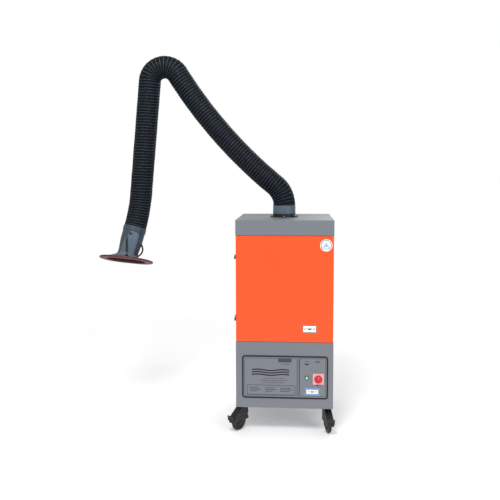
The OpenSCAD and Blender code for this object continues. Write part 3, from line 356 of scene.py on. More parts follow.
# %% Zinc plate, spangled sheet and machined steel
def plated(name, colour, gloss, streak):
    """Metal with fine streaks along one direction; streak scales the noise in x, y and z."""
    metal = Finish(name, Metallic=1.0, Roughness=gloss)
    lines = metal.speckle(metal.stretched(metal.place(), streak), 1.0, 4.0)
    cloud = metal.speckle(metal.place(), 14)
    duller = tuple(c * 0.72 for c in colour[:3]) + (1,)
    metal.feed("Base Color", metal.mix(lines * 0.6 + cloud * 0.4, duller, colour))
    metal.feed("Roughness", gloss - 0.06 + lines * 0.16 + cloud * 0.06)
    metal.bump(lines, 0.12, 0.0003)
    return metal.material


def spangled(name, colour):
    """Hot-dip galvanised sheet: crystals a centimetre across, each with its own shade and gloss."""
    zinc = Finish(name, Metallic=1.0)
    crystal = zinc.node("ShaderNodeTexVoronoi", {}, {"Vector": zinc.place(), "Scale": 110.0}, "Color")
    shade = zinc.node("ShaderNodeSeparateColor", {}, {"Color": crystal}, "Red")
    duller = tuple(c * 0.7 for c in colour[:3]) + (1,)
    zinc.feed("Base Color", zinc.mix(shade, duller, colour))
    zinc.feed("Roughness", 0.34 + shade * 0.2)
    zinc.bump(shade, 0.08, 0.0002)
    return zinc.material


zinc_plate = plated("zinc_plate", linear(205, 207, 208), 0.3, (260, 260, 40))
dark_steel = plated("machined_steel", linear(150, 153, 158), 0.34, (60, 400, 400))
galvanised = spangled("galvanised_sheet", linear(188, 192, 196))
print("three metals made")

# %% [markdown]
# # Filter paper, foam and wire mesh
# Behind the door sit the parts that do the work. Pleated paper is off-white and fibrous; the metal
# pre-filter is a woven mat of thin wire; the silencer slabs are open-cell foam with a dark dimpled skin.

# %% Paper, mesh and foam
def filter_paper_finish():
    """Off-white paper with fibres and a grey bloom of dust in places."""
    paper = Finish("filter_paper", Roughness=0.9)
    where = paper.place()
    fibre = paper.speckle(paper.stretched(where, (900, 200, 900)), 1.0, 4.0)
    bloom = paper.ramp(paper.speckle(where, 5), (0.4, 0), (0.75, 1))
    clean = paper.mix(fibre, linear(214, 205, 182), linear(236, 230, 212))
    paper.feed("Base Color", paper.mix(bloom * 0.35, clean, linear(150, 146, 138)))
    paper.bump(fibre, 0.3, 0.0004)
    return paper.material


def wire_mesh_finish():
    """Knitted wire in layers: two sets of fine waves that cross."""
    mesh = Finish("wire_mesh", Metallic=1.0, Roughness=0.35)
    where = mesh.place()
    settings = {"wave_type": "BANDS", "bands_direction": "DIAGONAL"}
    warp, weft = [
        mesh.node("ShaderNodeTexWave", settings, {"Vector": at, "Scale": 90.0, "Distortion": 3.0}, "Fac")
        for at in (where, mesh.stretched(where, (-1, 1, 1)))]
    wires = mesh.ramp(warp * weft, (0.1, 0), (0.6, 1))
    # The dark colour between the wires is painted shade in the gaps of the layered mat.
    mesh.feed("Base Color", mesh.mix(wires, linear(60, 62, 64), linear(200, 202, 204)))
    mesh.bump(wires, 0.6, 0.002)
    return mesh.material


def foam_finish():
    """Dark open-cell foam: pits of one size."""
    foam = Finish("silencer_foam", Roughness=0.95)
    where = foam.place()
    pits = foam.node("ShaderNodeTexVoronoi", {}, {"Vector": where, "Scale": 260.0}, "Distance")
    # The pits are painted darker towards their middles: painted shade in the hollows of the cells.
    foam.feed("Base Color", foam.mix(pits, linear(30, 30, 34), linear(78, 78, 84)))
    foam.bump(pits, 0.8, 0.003)
    return foam.material


filter_paper = filter_paper_finish()
wire_mesh = wire_mesh_finish()
silencer_foam = foam_finish()
print("the inner finishes are", [m.name for m in (filter_paper, wire_mesh, silencer_foam)])

# %% [markdown]
# # Printed labels
# Stickers and print are thin films. They get their own small pieces, so that their edges stay crisp at
# any distance, and finishes with a soft sheen. The lamp's lens is green acrylic over a dim light, with a
# painted highlight in its middle.

# %% Inks, films and the lamp's lens
def film(name, colour, gloss=0.35):
    """Printed film or ink: one colour with faint mottling."""
    ink = Finish(name, Roughness=gloss)
    mottle = ink.speckle(ink.place(), 120)
    ink.feed("Base Color", ink.mix(mottle, tuple(c * 0.9 for c in colour[:3]) + (1,), colour))
    ink.feed("Roughness", gloss + mottle * 0.1)
    return ink.material


white_film = film("white_film", linear(246, 247, 248))
teal_ink = film("teal_ink", linear(36, 150, 176))
pale_teal_ink = film("pale_teal_ink", linear(120, 196, 208))
dark_ink = film("dark_ink", linear(18, 20, 27))
faint_ink = film("faint_ink", linear(66, 70, 79))
blue_ink = film("blue_ink", linear(122, 156, 210))
display_film = film("display_film", linear(62, 66, 72), 0.2)


def lens_finish():
    """Green acrylic over a dim light, with a painted highlight in the middle, white in colour and in glow.
    """
    lens = Finish(
        "lamp_lens", Roughness=0.12, Coat_Weight=0.6, Coat_Roughness=0.05, Emission_Strength=0.55)
    low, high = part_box("indicator_lamp")
    middle = [-(low[axis] + high[axis]) / 2 for axis in range(3)]
    from_middle = lens.node("ShaderNodeVectorMath", {"operation": "ADD"}, {0: lens.place(), 1: middle})
    flat = lens.stretched(from_middle, (1, 0, 1))
    reach = lens.node("ShaderNodeVectorMath", {"operation": "LENGTH"}, {0: flat}, "Value")
    painted_highlight_spot = lens.ramp(reach / 0.015, (0.1, 1), (0.62, 0))
    # Its white middle, in colour and in glow, is a painted highlight.
    lens.feed("Base Color", lens.mix(painted_highlight_spot, linear(20, 104, 84), linear(214, 240, 230)))
    lens.feed("Emission Color", lens.mix(painted_highlight_spot, linear(6, 34, 26), linear(190, 232, 218)))
    return lens.material


lamp_lens = lens_finish()
print("films, inks and the lens are ready")

# %% [markdown]
# # Edges that catch the light
# Exact solids have edges as sharp as a knife, and no real edge is. Folded sheet has a bend radius, cast
# and moulded parts have fillets. Four modifiers make them without touching the frame's own mesh: weld the
# corners together, merge the flat triangles, bevel what is left as an edge, and weight the normals by face
# area so that flats stay flat in the highlights.

# %% Finish the frame's own solids
def soften(piece, width):
    """Rounds the sharp edges of a piece by modifiers alone."""
    weld = piece.modifiers.new("weld", "WELD")
    weld.merge_threshold = 0.00001
    planar = piece.modifiers.new("planar", "DECIMATE")
    planar.decimate_type = "DISSOLVE"
    planar.angle_limit = math.radians(0.4)
    round_off = piece.modifiers.new("round", "BEVEL")
    round_off.width = width
    round_off.segments = 2
    round_off.limit_method = "ANGLE"
    round_off.angle_limit = math.radians(38)
    weigh = piece.modifiers.new("weigh", "WEIGHTED_NORMAL")
    weigh.keep_sharp = False
    piece.data.shade_smooth()


def dress(material, width, *names):
    """Gives frame solids a finish, and rounds their edges where a width is given."""
    for name in names:
        solid = nodes[name]
        solid.data.materials.clear()
        solid.data.materials.append(material)
        if width:
            soften(solid, width)


dress(grey_paint, 0.0012, "base_frame", "left_panel", "right_panel", "back_panel", "roof_panel")
dress(grey_paint, 0.0008, "lower_front_panel", "control_plate")
dress(orange_paint, 0.0014, "door")
dress(galvanised, 0.0004, "partition_plate", "filter_rails", "fan_housing", "control_box")
dress(filter_paper, 0, "filter_cartridge")
dress(wire_mesh, 0.0005, "pre_filter")
dress(silencer_foam, 0.002, "silencer_foam")
dress(motor_paint, 0.001, "fan_motor")
dress(dark_steel, 0.0004, "fan_impeller", "shoulder_yoke", "lower_arm_link", "forearm_link", "wrist_link")
dress(zinc_plate, 0.0005, "hinge_pins", "upper_latch_bail", "lower_latch_bail", "front_castor_heads")
dress(zinc_plate, 0.0006, "arm_base_bolts")
dress(zinc_plate, 0.0011, "panel_screws")
dress(black_plastic, 0.0006, "outlet_grille", "cable_gland", "damper_flap")
dress(black_plastic, 0.0005, "latch_bases", "latch_catches", "upper_latch_lever", "lower_latch_lever")
dress(black_plastic, 0.0012, "left_castor_housing", "right_castor_housing", "rear_castor_forks")
dress(black_plastic, 0.001, "left_castor_brake", "right_castor_brake", "arm_base")
dress(rubber, 0.0012, "control_frame", "door_seal")
dress(lamp_lens, 0.0008, "indicator_lamp")
dress(plate_rose, 0.0012, "switch_plate")
dress(collar_plastic, 0.001, "rotary_collar")
dress(slate_plastic, 0.001, "hood_neck")
dress(grid_black, 0.0005, "hood_grid")
print("finished", len([n for n in nodes.values() if n.modifiers]), "solids of the frame")

# %% [markdown]
# # Building a mesh by hand
# Most of the new pieces are rings of points joined by faces: a hose, a wheel, a flared shell, a bent bar.
# One function therefore joins any grid of points, closed around if it should be, and three short ones turn
# the joined grid into a piece that has a finish and rides on its body.

# %% Grids, pieces and swept shapes
def grid_faces(rows, columns, closed=True):
    """Faces between neighbouring rows of points; closed joins the last column to the first."""
    last = columns if closed else columns - 1
    return [
        (r * columns + c, r * columns + (c + 1) % columns,
         (r + 1) * columns + (c + 1) % columns, (r + 1) * columns + c)
        for r in range(rows - 1) for c in range(last)
    ]


def closing_faces(rows, columns):
    """Faces that join the last row of points back to the first."""
    last = (rows - 1) * columns
    return [(last + c, last + (c + 1) % columns, (c + 1) % columns, c) for c in range(columns)]


def end_faces(rows, columns):
    """Two flat faces that close the first and the last row of points."""
    last = (rows - 1) * columns
    return [tuple(reversed(range(columns))), tuple(range(last, last + columns))]


def make_piece(name, points, faces, material):
    """A smooth mesh object in the scene, with outward faces and one finish."""
    mesh = bpy.data.meshes.new(name)
    mesh.from_pydata([tuple(p) for p in points], [], faces)
    work = bmesh.new()
    work.from_mesh(mesh)
    bmesh.ops.remove_doubles(work, verts=work.verts, dist=0.0000005)
    bmesh.ops.recalc_face_normals(work, faces=work.faces)
    work.to_mesh(mesh)
    work.free()
    mesh.shade_smooth()
    mesh.materials.append(material)
    piece = bpy.data.objects.new(name, mesh)
    bpy.context.scene.collection.objects.link(piece)
    return piece


def mount(piece, body, slot, *replaced):
    """Lets a piece ride on a body and stand for frame solids; slot is not used."""
    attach(piece, body)
    if replaced:
        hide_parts(*replaced)
    return piece


def lathe(name, profile, axis_place, axis, material, around):
    """Turns a line of (radius, height) points about an axis; its last ring isn't joined to its first."""
    turn = Vector(axis).to_track_quat("Z", "Y").to_matrix()
    points = []
    for radius, height in profile:
        for step in range(around):
            angle = 2 * math.pi * step / around
            at = Vector((radius * math.cos(angle), radius * math.sin(angle), height))
            points.append(Vector(axis_place) + turn @ at)
    return make_piece(name, points, grid_faces(len(profile), around), material)


def outline_at(half_w, half_h, radius, steps=8):
    """A rounded rectangle as (x, y) points, anticlockwise."""
    points = []
    for corner, (sx, sy) in enumerate([(1, 1), (-1, 1), (-1, -1), (1, -1)]):
        for step in range(steps + 1):
            angle = math.pi / 2 * (corner + step / steps)
            points.append((sx * (half_w - radius) + radius * math.cos(angle),
                           sy * (half_h - radius) + radius * math.sin(angle)))
    return points


print("mesh helpers are ready")

# %% [markdown]
# # Coated fabric over a wire spiral
# The duct is woven polyester with a dark coating. Two crossed sets of fine waves make the weave, laid out
# on the piece's own unrolled surface so that it bends with the hose. Where the wire presses from inside,
# the coating is polished and painted a little paler and bluish: partly rubbed wear, partly a painted
# highlight. Between the wires it stays dull and gathers dust.

# %% Hose fabric
def hose_fabric_finish(radius, pitch):
    """Dark coated weave, with polished crests every pitch metres along a helix; the crests are painted
    paler, partly wear and partly a painted highlight.
    """
    per_thread = 2 * math.pi / 0.0013
    fabric = Finish("hose_fabric", Specular_IOR_Level=0.13)
    unrolled = fabric.node("ShaderNodeUVMap", {"uv_map": "weave"}, {})
    around = fabric.node("ShaderNodeSeparateXYZ", {}, {0: unrolled}, "X")
    along = fabric.node("ShaderNodeSeparateXYZ", {}, {0: unrolled}, "Y")
    warp = (around * per_thread).wave()
    weft = (along * per_thread).wave()
    turns = along / pitch - around / (2 * math.pi * radius)
    crest = fabric.ramp(1 - turns.between_crests(), (0.72, 0), (0.97, 1))
    dust = fabric.speckle(unrolled, 26)
    scuff_and_sheen = fabric.ramp(fabric.speckle(unrolled, 90), (0.42, 0), (0.62, 1))
    body = fabric.mix(dust, linear(4, 7, 14), linear(9, 14, 22))
    # The crests are painted paler and bluish: partly rubbed wear, partly a painted highlight where the wire
    # shines.
    fabric.feed("Base Color", fabric.mix(crest * (scuff_and_sheen * 0.6 + 0.3), body, linear(74, 90, 104)))
    fabric.feed("Roughness", 0.52 + dust * 0.1 - crest * (scuff_and_sheen * 0.5 + 0.5) * 0.26)
    fabric.bump(warp * weft + scuff_and_sheen * 0.6, 0.35, 0.0006)
    return fabric.material


print("the weave's threads are laid out on the unrolled hose")

# %% [markdown]
# # The hose's route
# The hose is a fabric tube held open by a wire spiral. It leaves the collar upright, bends over the
# shoulder, sags a little on its way up to the elbow, turns down there, and ends in the hood. That route
# is a chain of arcs, each with a length and a turn. A straight stretch is an arc that turns by nothing.

# %% Follow the route
hose_r = 0.079
wire_pitch = 0.0205
fabric_sag = 0.0034
fabric_t = 0.0015
crest_lift = 0.0006
hem_sink = 0.0008
hem_run = 0.030
bend_run = 0.050

collar_low, collar_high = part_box("rotary_collar")
spigot_h = 0.027
first_ring = 0.002
shoulder_start = Vector(((collar_low.x + collar_high.x) / 2, 0, collar_high.z - spigot_h))


def bend(radius, degrees):
    """An arc by its radius and turn, as (length, turn)."""
    return (radius * math.radians(degrees), degrees)


shoulder_arc = bend(0.188, 50.4)
sagging_arc = (1.048, -18.2)
elbow_arc = bend(0.109, 142.3)
route_arcs = [shoulder_arc, sagging_arc, elbow_arc, (0, 0)]
shoulder_end = shoulder_arc[0] + bend_run
elbow_start = shoulder_arc[0] + sagging_arc[0] - bend_run
elbow_end = elbow_start + elbow_arc[0] + 2 * bend_run


def on_route(run):
    """The hose's middle line at a distance along it: place, direction and the two crosswise directions."""
    at, heading = shoulder_start.copy(), 90.0
    for index, (length, turn) in enumerate(route_arcs):
        last = index == len(route_arcs) - 1
        part = run if last else min(run, length)
        turned = turn * part / length if length else 0
        half = math.radians(turned / 2)
        chord = part * (math.sin(half) / half if abs(half) > 1e-6 else 1)
        way = math.radians(heading) + half
        at += chord * Vector((math.cos(way), 0, math.sin(way)))
        heading += turned
        run -= part
        if run <= 0 and not last:
            break
    along, up = math.cos(math.radians(heading)), math.sin(math.radians(heading))
    return at, Vector((along, 0, up)), Vector((-up, 0, along)), Vector((0, -1, 0))


# The wrist bends from the forearm's direction into the hood's, about the hood's hinge
wrist_pivot = Vector(joints["hood_tilt"]["pos_m"])
wrist_hinge = Vector(joints["hood_tilt"]["axis"]).normalized()
damper_middle = Vector(joints["damper_turn"]["pos_m"])
hood_way = (damper_middle - wrist_pivot).normalized()
damper_drop = 0.060  # how far the damper's shaft sits below the neck's top
neck_top = damper_middle - damper_drop * hood_way
wrist_reach = (neck_top - wrist_pivot).length

# The forearm runs straight from the elbow's bend to where that last bend begins
elbow_foot = on_route(sum(length for length, turn in route_arcs))[0]
route_arcs[-1] = ((wrist_pivot - elbow_foot).length - wrist_reach, 0)
forearm_end = sum(length for length, turn in route_arcs)
wrist_top, forearm_way, forearm_side, forearm_front = on_route(forearm_end)
wrist_turn = forearm_way.angle(hood_way)
wrist_len = wrist_turn * wrist_reach / math.tan(wrist_turn / 2)


def on_wrist(run):
    """The same four vectors along the last bend, which leaves the plane of the arm."""
    radius = wrist_len / wrist_turn
    inward = wrist_hinge.cross(forearm_way)
    turn = Matrix.Rotation(run / radius, 3, wrist_hinge)
    centre = wrist_top + radius * inward
    at = centre - radius * (turn @ inward)
    return at, turn @ forearm_way, turn @ forearm_side, turn @ forearm_front


hose_len = forearm_end + wrist_len
print("the hose is", round(hose_len, 3), "m long, the wrist bend", round(wrist_len, 3), "m of it")
assert (on_wrist(wrist_len)[0] - neck_top).length < 0.002

# %% [markdown]
# # Ribs and folds
# Between two turns of the wire the fabric hangs in like a tiny hammock, so the rib's section is a row of
# shallow parabolas that meet in crests. Because the wire is a helix, the crest wanders once round the hose
# for each turn. At the ends of a stretch the spiral lies under a flat hem. Inside a bend the fabric has too
# much length and folds; here the sag deepens there, and a little noise breaks up the regularity.

# %% Model the hose in five stretches
around_hose = 72
rings_per_turn = 7


def fabric_height(run, angle, hem, inner_fold):
    """How far the fabric stands inside the wire's crest at a place on the hose, in metres."""
    phase = run / wire_pitch - angle / (2 * math.pi)
    between = phase - math.floor(phase)
    hammock = 1 - (2 * between - 1) ** 2
    slack = 0.75 + 0.5 * noise.noise(Vector((math.cos(angle) * 2.2, math.sin(angle) * 2.2, run * 14)))
    crease = noise.noise(Vector((math.cos(angle) * 7, math.sin(angle) * 7, run * 60)))
    sag = fabric_sag * hammock * slack * (1 + 0.9 * inner_fold) + 0.0007 * crease * hammock
    return hem * sag + (1 - hem) * hem_sink


def unroll(piece, shares):
    """Lays the tube out flat in metres, cut open along its first line of points."""
    lay = piece.data.uv_layers.new(name="weave")
    for face in piece.data.polygons:
        seam = max(shares[v][0] for v in face.vertices) > 0.9
        for loop in face.loop_indices:
            u, v = shares[piece.data.loops[loop].vertex_index]
            u = 1.0 if seam and u < 0.1 else u
            lay.data[loop].uv = (u * 2 * math.pi * hose_r, v)


def hose_piece(name, line, start, end, offset, curl, hems=(False, False)):
    """One stretch of ribbed hose; line gives its middle line, and its ribs go on from offset."""
    count = max(8, round((end - start) / wire_pitch * rings_per_turn))
    points, shares = [], []
    for ring in range(count + 1):
        run = start + (end - start) * ring / count
        at, way, side, front = line(run)
        hem = 1.0
        if hems[0]:
            hem = min(hem, (run - start) / hem_run)
        if hems[1]:
            hem = min(hem, (end - run) / hem_run)
        hem = max(0.0, min(1.0, hem)) ** 0.7
        for step in range(around_hose):
            angle = 2 * math.pi * step / around_hose
            fold = max(0.0, math.cos(angle) * curl(run))
            radius = hose_r + crest_lift - fabric_height(run + offset, angle, hem, fold)
            points.append(at + radius * (math.cos(angle) * side + math.sin(angle) * front))
            shares.append((step / around_hose, run + offset))
    piece = make_piece(name, points, grid_faces(count + 1, around_hose), hose_fabric)
    unroll(piece, shares)
    wall = piece.modifiers.new("wall", "SOLIDIFY")
    wall.thickness = fabric_t
    return piece


def arm_curl(run):
    """Which side of the hose the bend squeezes: 1 the left one, -1 the right one."""
    if run < shoulder_arc[0]:
        return 0.7
    if run < elbow_start + bend_run:
        return -0.1
    return 1.0 if run < elbow_end - bend_run else 0.0


swivel_gap = 0.0005
hose_fabric = hose_fabric_finish(hose_r, wire_pitch)
shoulder_hose = hose_piece(
    "ribbed_hose_shoulder", on_route, first_ring, shoulder_end, 0, arm_curl, (True, False))
lower_hose = hose_piece("ribbed_hose_lower", on_route, shoulder_end, elbow_start, 0, arm_curl)
elbow_hose = hose_piece("ribbed_hose_elbow", on_route, elbow_start, elbow_end, 0, arm_curl)
upper_hose = hose_piece(
    "ribbed_hose_upper", on_route, elbow_end, forearm_end - swivel_gap, 0, arm_curl, (False, True))
wrist_hose = hose_piece(
    "ribbed_hose_wrist", on_wrist, 0, wrist_len, forearm_end, lambda run: 0, (True, True))
for hose in (shoulder_hose, lower_hose, elbow_hose, upper_hose, wrist_hose):
    print(hose.name, "has", len(hose.data.polygons), "faces")

# %% [markdown]
# # A hose that follows its joints
# The straight stretches simply ride on the arm's links. The three bends lie across a joint; they are baked
# in place and stand for the frame's bends, but don't follow the joints. Start and end planes a hose radius
# inside each bend are worked out, and not used.

# %% Tie the hose to the arm
def blend_bend(piece, line, start, end, node):
    """Bakes one bend of hose in place and hides the frame's bend it stands for; its end planes are worked
    out but not used.
    """
    start_at, start_way = line(start)[:2]
    end_at, end_way = line(end)[:2]
    chord = (end_at - start_at).normalized()
    inset = [hose_r * math.sin(way.angle(chord)) for way in (start_way, end_way)]
    start_at + inset[0] * chord
    end_at - inset[1] * chord
    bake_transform(piece)
    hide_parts(node)


mount(lower_hose, "lower_arm", "hose_fabric", "hose_lower")
mount(upper_hose, "forearm", "hose_fabric", "hose_upper")
blend_bend(shoulder_hose, on_route, first_ring, shoulder_end, "hose_shoulder")
blend_bend(elbow_hose, on_route, elbow_start, elbow_end, "hose_elbow")
blend_bend(wrist_hose, on_wrist, 0, wrist_len, "hose_wrist")

# %% [markdown]
# # A moulded hood
# The hood's shell starts as the neck's circle and ends as an oval that spreads flat over the rim. Each
# point is placed by two numbers: how far down it is, and the angle around. Raised panels are patches of
# the same surface, a little further out, with borders that dive back into the shell. That way they keep
# the shell's curves exactly and still read as separate mouldings.

# %% Hood frame
hood_back = Vector(joints["damper_turn"]["axis"]).normalized()
hood_up = -hood_way
hood_right = hood_back.cross(hood_up).normalized()
hood_turn = Matrix((hood_right, hood_back, hood_up)).transposed()


def in_hood(x, y, z):
    """A place in the hood's own axes, z measured down from the neck's top, in metres."""
    return neck_top + hood_turn @ Vector((x, y, z))


neck_len, neck_r = 0.095, 0.079
shell_len, shell_t, lip_h = 0.138, 0.003, 0.003
waist = -0.012  # how much the shell's radius changes on its way down, before it flares
mouth_w, mouth_d, mouth_slant = 0.290, 0.215, math.radians(7)
rim_w, rim_d, rim_t = 0.381, 0.290, 0.014


def soft_step(value, low, high):
    """0 below low, 1 above high, smooth in between; the limits may be given either way round."""
    share = min(max((value - low) / (high - low), 0), 1)
    return share * share * (3 - 2 * share)


def skin(share, angle, lift):
    """A point on the hood's skin: share below 0 is on the neck, 0 to 1 is on the shell."""
    low = max(share, 0.0)
    flare = low ** 12
    half_x = neck_r + waist * low + (mouth_w / 2 - neck_r - waist) * flare
    half_y = neck_r + waist * low + (mouth_d / 2 - neck_r - waist) * flare
    x, y = (half_x + lift) * math.cos(angle), (half_y + lift) * math.sin(angle)
    thick = shell_t * flare if lift > -shell_t else 0  # the flared part is thick upwards, on its outside
    down = neck_len + share * (shell_len - lip_h)
    return in_hood(x, y, thick - down + x * math.tan(mouth_slant) * flare)


def mouth_ring(inset, angles):
    """The shell's end ring, which stands on the rim."""
    half_x, half_y = mouth_w / 2 - inset, mouth_d / 2 - inset
    return [in_hood(half_x * math.cos(a), half_y * math.sin(a),
                    half_x * math.cos(a) * math.tan(mouth_slant) - neck_len - shell_len) for a in angles]


def shell_rows():
    """All the rings of the shell: down the outside, round the lip and back up the inside."""
    shares = [math.sin(math.pi / 2 * i / 60) for i in range(61)]
    angles = [2 * math.pi * i / 180 for i in range(180)]
    outside = [[skin(share, angle, 0) for angle in angles] for share in shares]
    inside = [[skin(share, angle, -shell_t) for angle in angles] for share in reversed(shares)]
    return outside + [mouth_ring(0, angles), mouth_ring(shell_t, angles)] + inside


rings = shell_rows()
ring_size = len(rings[0])
shell_faces = grid_faces(len(rings), ring_size) + closing_faces(len(rings), ring_size)
shell = make_piece("moulded_shell", [p for ring in rings for p in ring], shell_faces, slate_plastic)
mount(shell, "hood", "slate_plastic", "hood_shell")
print("shell:", len(shell.data.polygons), "faces")


def raised_patch(name, material, top, bottom, left, right, lift, tip, soft):
    """A raised region of the skin between two borders, given in degrees from the front by share."""
    rows, columns, sink = 72, 40, 0.0006
    points = []
    for row in range(rows + 1):
        share = top + (bottom - top) * row / rows
        opening = min(1.0, (share - top) / tip)
        opening = math.sqrt(1 - (1 - opening) ** 2)
        middle = (left(share) + right(share)) / 2
        half = (right(share) - left(share)) / 2 * opening
        for column in range(columns + 1):
            across = 2 * column / columns - 1
            across = across * (1.5 - 0.5 * across * across)
            rise = soft_step(half * (1 - abs(across)), 0, soft) * soft_step(bottom - share, 0, 0.03)
            angle = math.radians(middle + half * across - 90)
            points.append(skin(share, angle, (lift + sink) * rise - sink))
    patch = make_piece(name, points, grid_faces(rows + 1, columns + 1, False), material)
    back = patch.modifiers.new("back", "SOLIDIFY")
    back.thickness, back.offset = 0.0009, -1
    return patch


front_panel = raised_patch(
    "arched_front_panel", collar_plastic, -0.41, 0.965,
    lambda share: -8 + 27 * share, lambda share: 49.0, 0.0024, 0.26, 2.6)
side_panel = raised_patch(
    "wedge_side_panel", collar_plastic, -0.06, 0.965,
    lambda share: -28 - 14 * share, lambda share: -20 + 24 * share, 0.0024, 0.40, 2.2)
# The black strip is painted shade: a dark sheet laid in the groove between the two panels, where shade
# falls.
painted_groove_shade = raised_patch(
    "painted_groove_shade_strip", black_plastic, 0.05, 0.975,
    lambda share: -19 + 24.5 * share, lambda share: -9 + 26 * share, 0.0008, 0.05, 1.2)
mount(front_panel, "hood", "slate_plastic")
mount(side_panel, "hood", "slate_plastic")
mount(painted_groove_shade, "hood", "black_plastic")
print("two raised panels and the dark seam between them are on the hood")

# %% [markdown]
# # Rim and handle by sweeping
# A swept shape is one outline carried along a line. The rim is a rolled lip carried round an oblong: its
# top slopes like a pillow, its edge is a half circle and its underside a flat land. The handle is a round
# bar on a bow, thicker where it runs into the shell.

# %% Rim and handle
def oblong_point(width, depth, turn):
    """A point on an oblong's edge with the outward direction there, for a turn from 0 to 1."""
    radius, straight = depth / 2, width - depth
    run = turn * (2 * straight + 2 * math.pi * radius)
    for side, sign in enumerate((1, -1)):
        if run <= straight:
            return sign * (straight / 2 - run), sign * radius, 0.0, float(sign)
        run -= straight
        if run <= math.pi * radius:
            angle = math.pi / 2 + run / radius + side * math.pi
            x, y = math.cos(angle), math.sin(angle)
            return -sign * straight / 2 + radius * x, radius * y, x, y
        run -= math.pi * radius
    return straight / 2, radius, 0.0, 1.0


slant_turn = Matrix.Rotation(-mouth_slant, 3, "Y")


def in_mouth(x, y, z):
    """A place in the plane of the mouth, z measured up from the rim's top."""
    turned = slant_turn @ Vector((x, y, z))
    return in_hood(turned.x, turned.y, turned.z - neck_len - shell_len)


def rim_profile():
    """The rim's section as (inset from the outer edge, height), clockwise from the inner top."""
    wide, radius = 0.0515, rim_t / 2
    profile = [(wide, -0.0002), (0.044, 0.0), (0.030, -0.0002), (0.016, -0.0004)]
    for step in range(9):
        angle = math.pi / 2 - math.pi * step / 8
        profile.append((radius - radius * math.cos(angle), -radius + (radius - 0.0004) * math.sin(angle)))
    profile += [(0.020, -rim_t + 0.0012), (0.026, -rim_t + 0.0040), (0.034, -rim_t + 0.0046)]
    profile += [(0.044, -rim_t + 0.0030), (wide, -rim_t + 0.0012)]
    return profile


def build_rim():
    """Carries the rim's section round the oblong."""
    profile, around = rim_profile(), 240
    points = []
    for inset, height in profile:
        for step in range(around):
            x, y, out_x, out_y = oblong_point(rim_w, rim_d, step / around)
            points.append(in_mouth(x - inset * out_x, y - inset * out_y, height))
    faces = grid_faces(len(profile), around) + closing_faces(len(profile), around)
    return make_piece("rolled_rim", points, faces, rim_red)


def sweep(name, line, radii, material):
    """A round bar along a list of places, with its own radius at each."""
    around, points, cross = 20, [], None
    for i, at in enumerate(line):
        way = (line[min(i + 1, len(line) - 1)] - line[max(i - 1, 0)]).normalized()
        cross = way.orthogonal() if cross is None else cross - way * cross.dot(way)
        cross = cross.normalized()
        other = way.cross(cross)
        for step in range(around):
            angle = 2 * math.pi * step / around
            points.append(at + radii[i] * (math.cos(angle) * cross + math.sin(angle) * other))
    faces = grid_faces(len(line), around) + end_faces(len(line), around)
    return make_piece(name, points, faces, material)


rim = build_rim()
mount(rim, "hood", "rim_red", "hood_rim")


def build_handle():
    """The bow handle on the right side, rooted in the shell."""
    bow_r, bar_r, rise, share = 0.052, 0.006, 0.030, 0.45
    foot_x = neck_r + waist * share - shell_t / 2 + 0.0001
    middle = foot_x + rise - bow_r - bar_r
    reach = math.acos((bow_r + bar_r - rise) / bow_r) - 0.02
    slope = math.atan(waist / shell_len)
    half_steps, line, radii = 20, [], []
    for step in range(-half_steps, half_steps + 1):
        angle = reach * (step / half_steps)
        x, z = middle + bow_r * math.cos(angle) - foot_x, bow_r * math.sin(angle)
        line.append(in_hood(foot_x + x * math.cos(slope) - z * math.sin(slope), 0,
                            -neck_len - share * shell_len + z * math.cos(slope) + x * math.sin(slope)))
        radii.append(bar_r - 0.0002 + 0.0028 * soft_step(abs(step), 14, half_steps))
    return sweep("bow_handle", line, radii, black_plastic)


handle = build_handle()
mount(handle, "hood", "black_plastic", "hood_handle")
print("rim:", len(rim.data.polygons), "faces; handle:", len(handle.data.polygons), "faces")

# %% [markdown]
# # The screw on the damper's pivot
# The damper flap turns on a shaft. In front, its head is a slotted knob that a finger or a coin can turn.

# %% Damper pivot
def in_damper(x, y, z):
    """A place in the hood's axes measured from the damper's shaft."""
    return damper_middle + hood_turn @ Vector((x, y, z))


def slotted_head():
    """A low domed head with a slot, standing on the neck's front."""
    rings, around, radius = 10, 64, 0.0102
    front = -(neck_r + 0.0066)
    points = []
    for ring in range(rings + 1):
        share = ring / rings
        for step in range(around):
            angle = 2 * math.pi * step / around
            x, z = radius * share * math.cos(angle), radius * share * math.sin(angle)
            dome = 0.0018 * share ** 4
            slot = 0.0016 * soft_step(abs(x), 0.0018, 0.0011) * soft_step(share, 0.97, 0.85)
            points.append(in_damper(x, front + dome + slot, z))
    for back in (front + 0.0036, front + 0.0062):
        for step in range(around):
            angle = 2 * math.pi * step / around
            points.append(in_damper(radius * math.cos(angle), back, radius * math.sin(angle)))
    faces = grid_faces(rings + 3, around)
    last = (rings + 2) * around
    faces.append(tuple(range(last, last + around)))
    return make_piece("pivot_head", points, faces, black_plastic)


mount(slotted_head(), "damper", "black_plastic")
print("the damper's pivot has its head")

# %% [markdown]
# # Wheels with a tread and ribbed hubs
# A castor wheel has a rubber tyre with rounded shoulders, pressed onto a moulded hub. The tyre is a turned
# section. The hub is a disc whose thickness depends on both radius and angle, which gives the boss in the
# middle, the thin web, the ribs across it and the ring at its edge in one mesh. The ends of the tyre's
# section aren't joined to each other, which leaves a narrow open band on the tread.

# %% Castor wheels
TYRE_R, TYRE_HALF, HUB_R = 0.0624, 0.0119, 0.0475


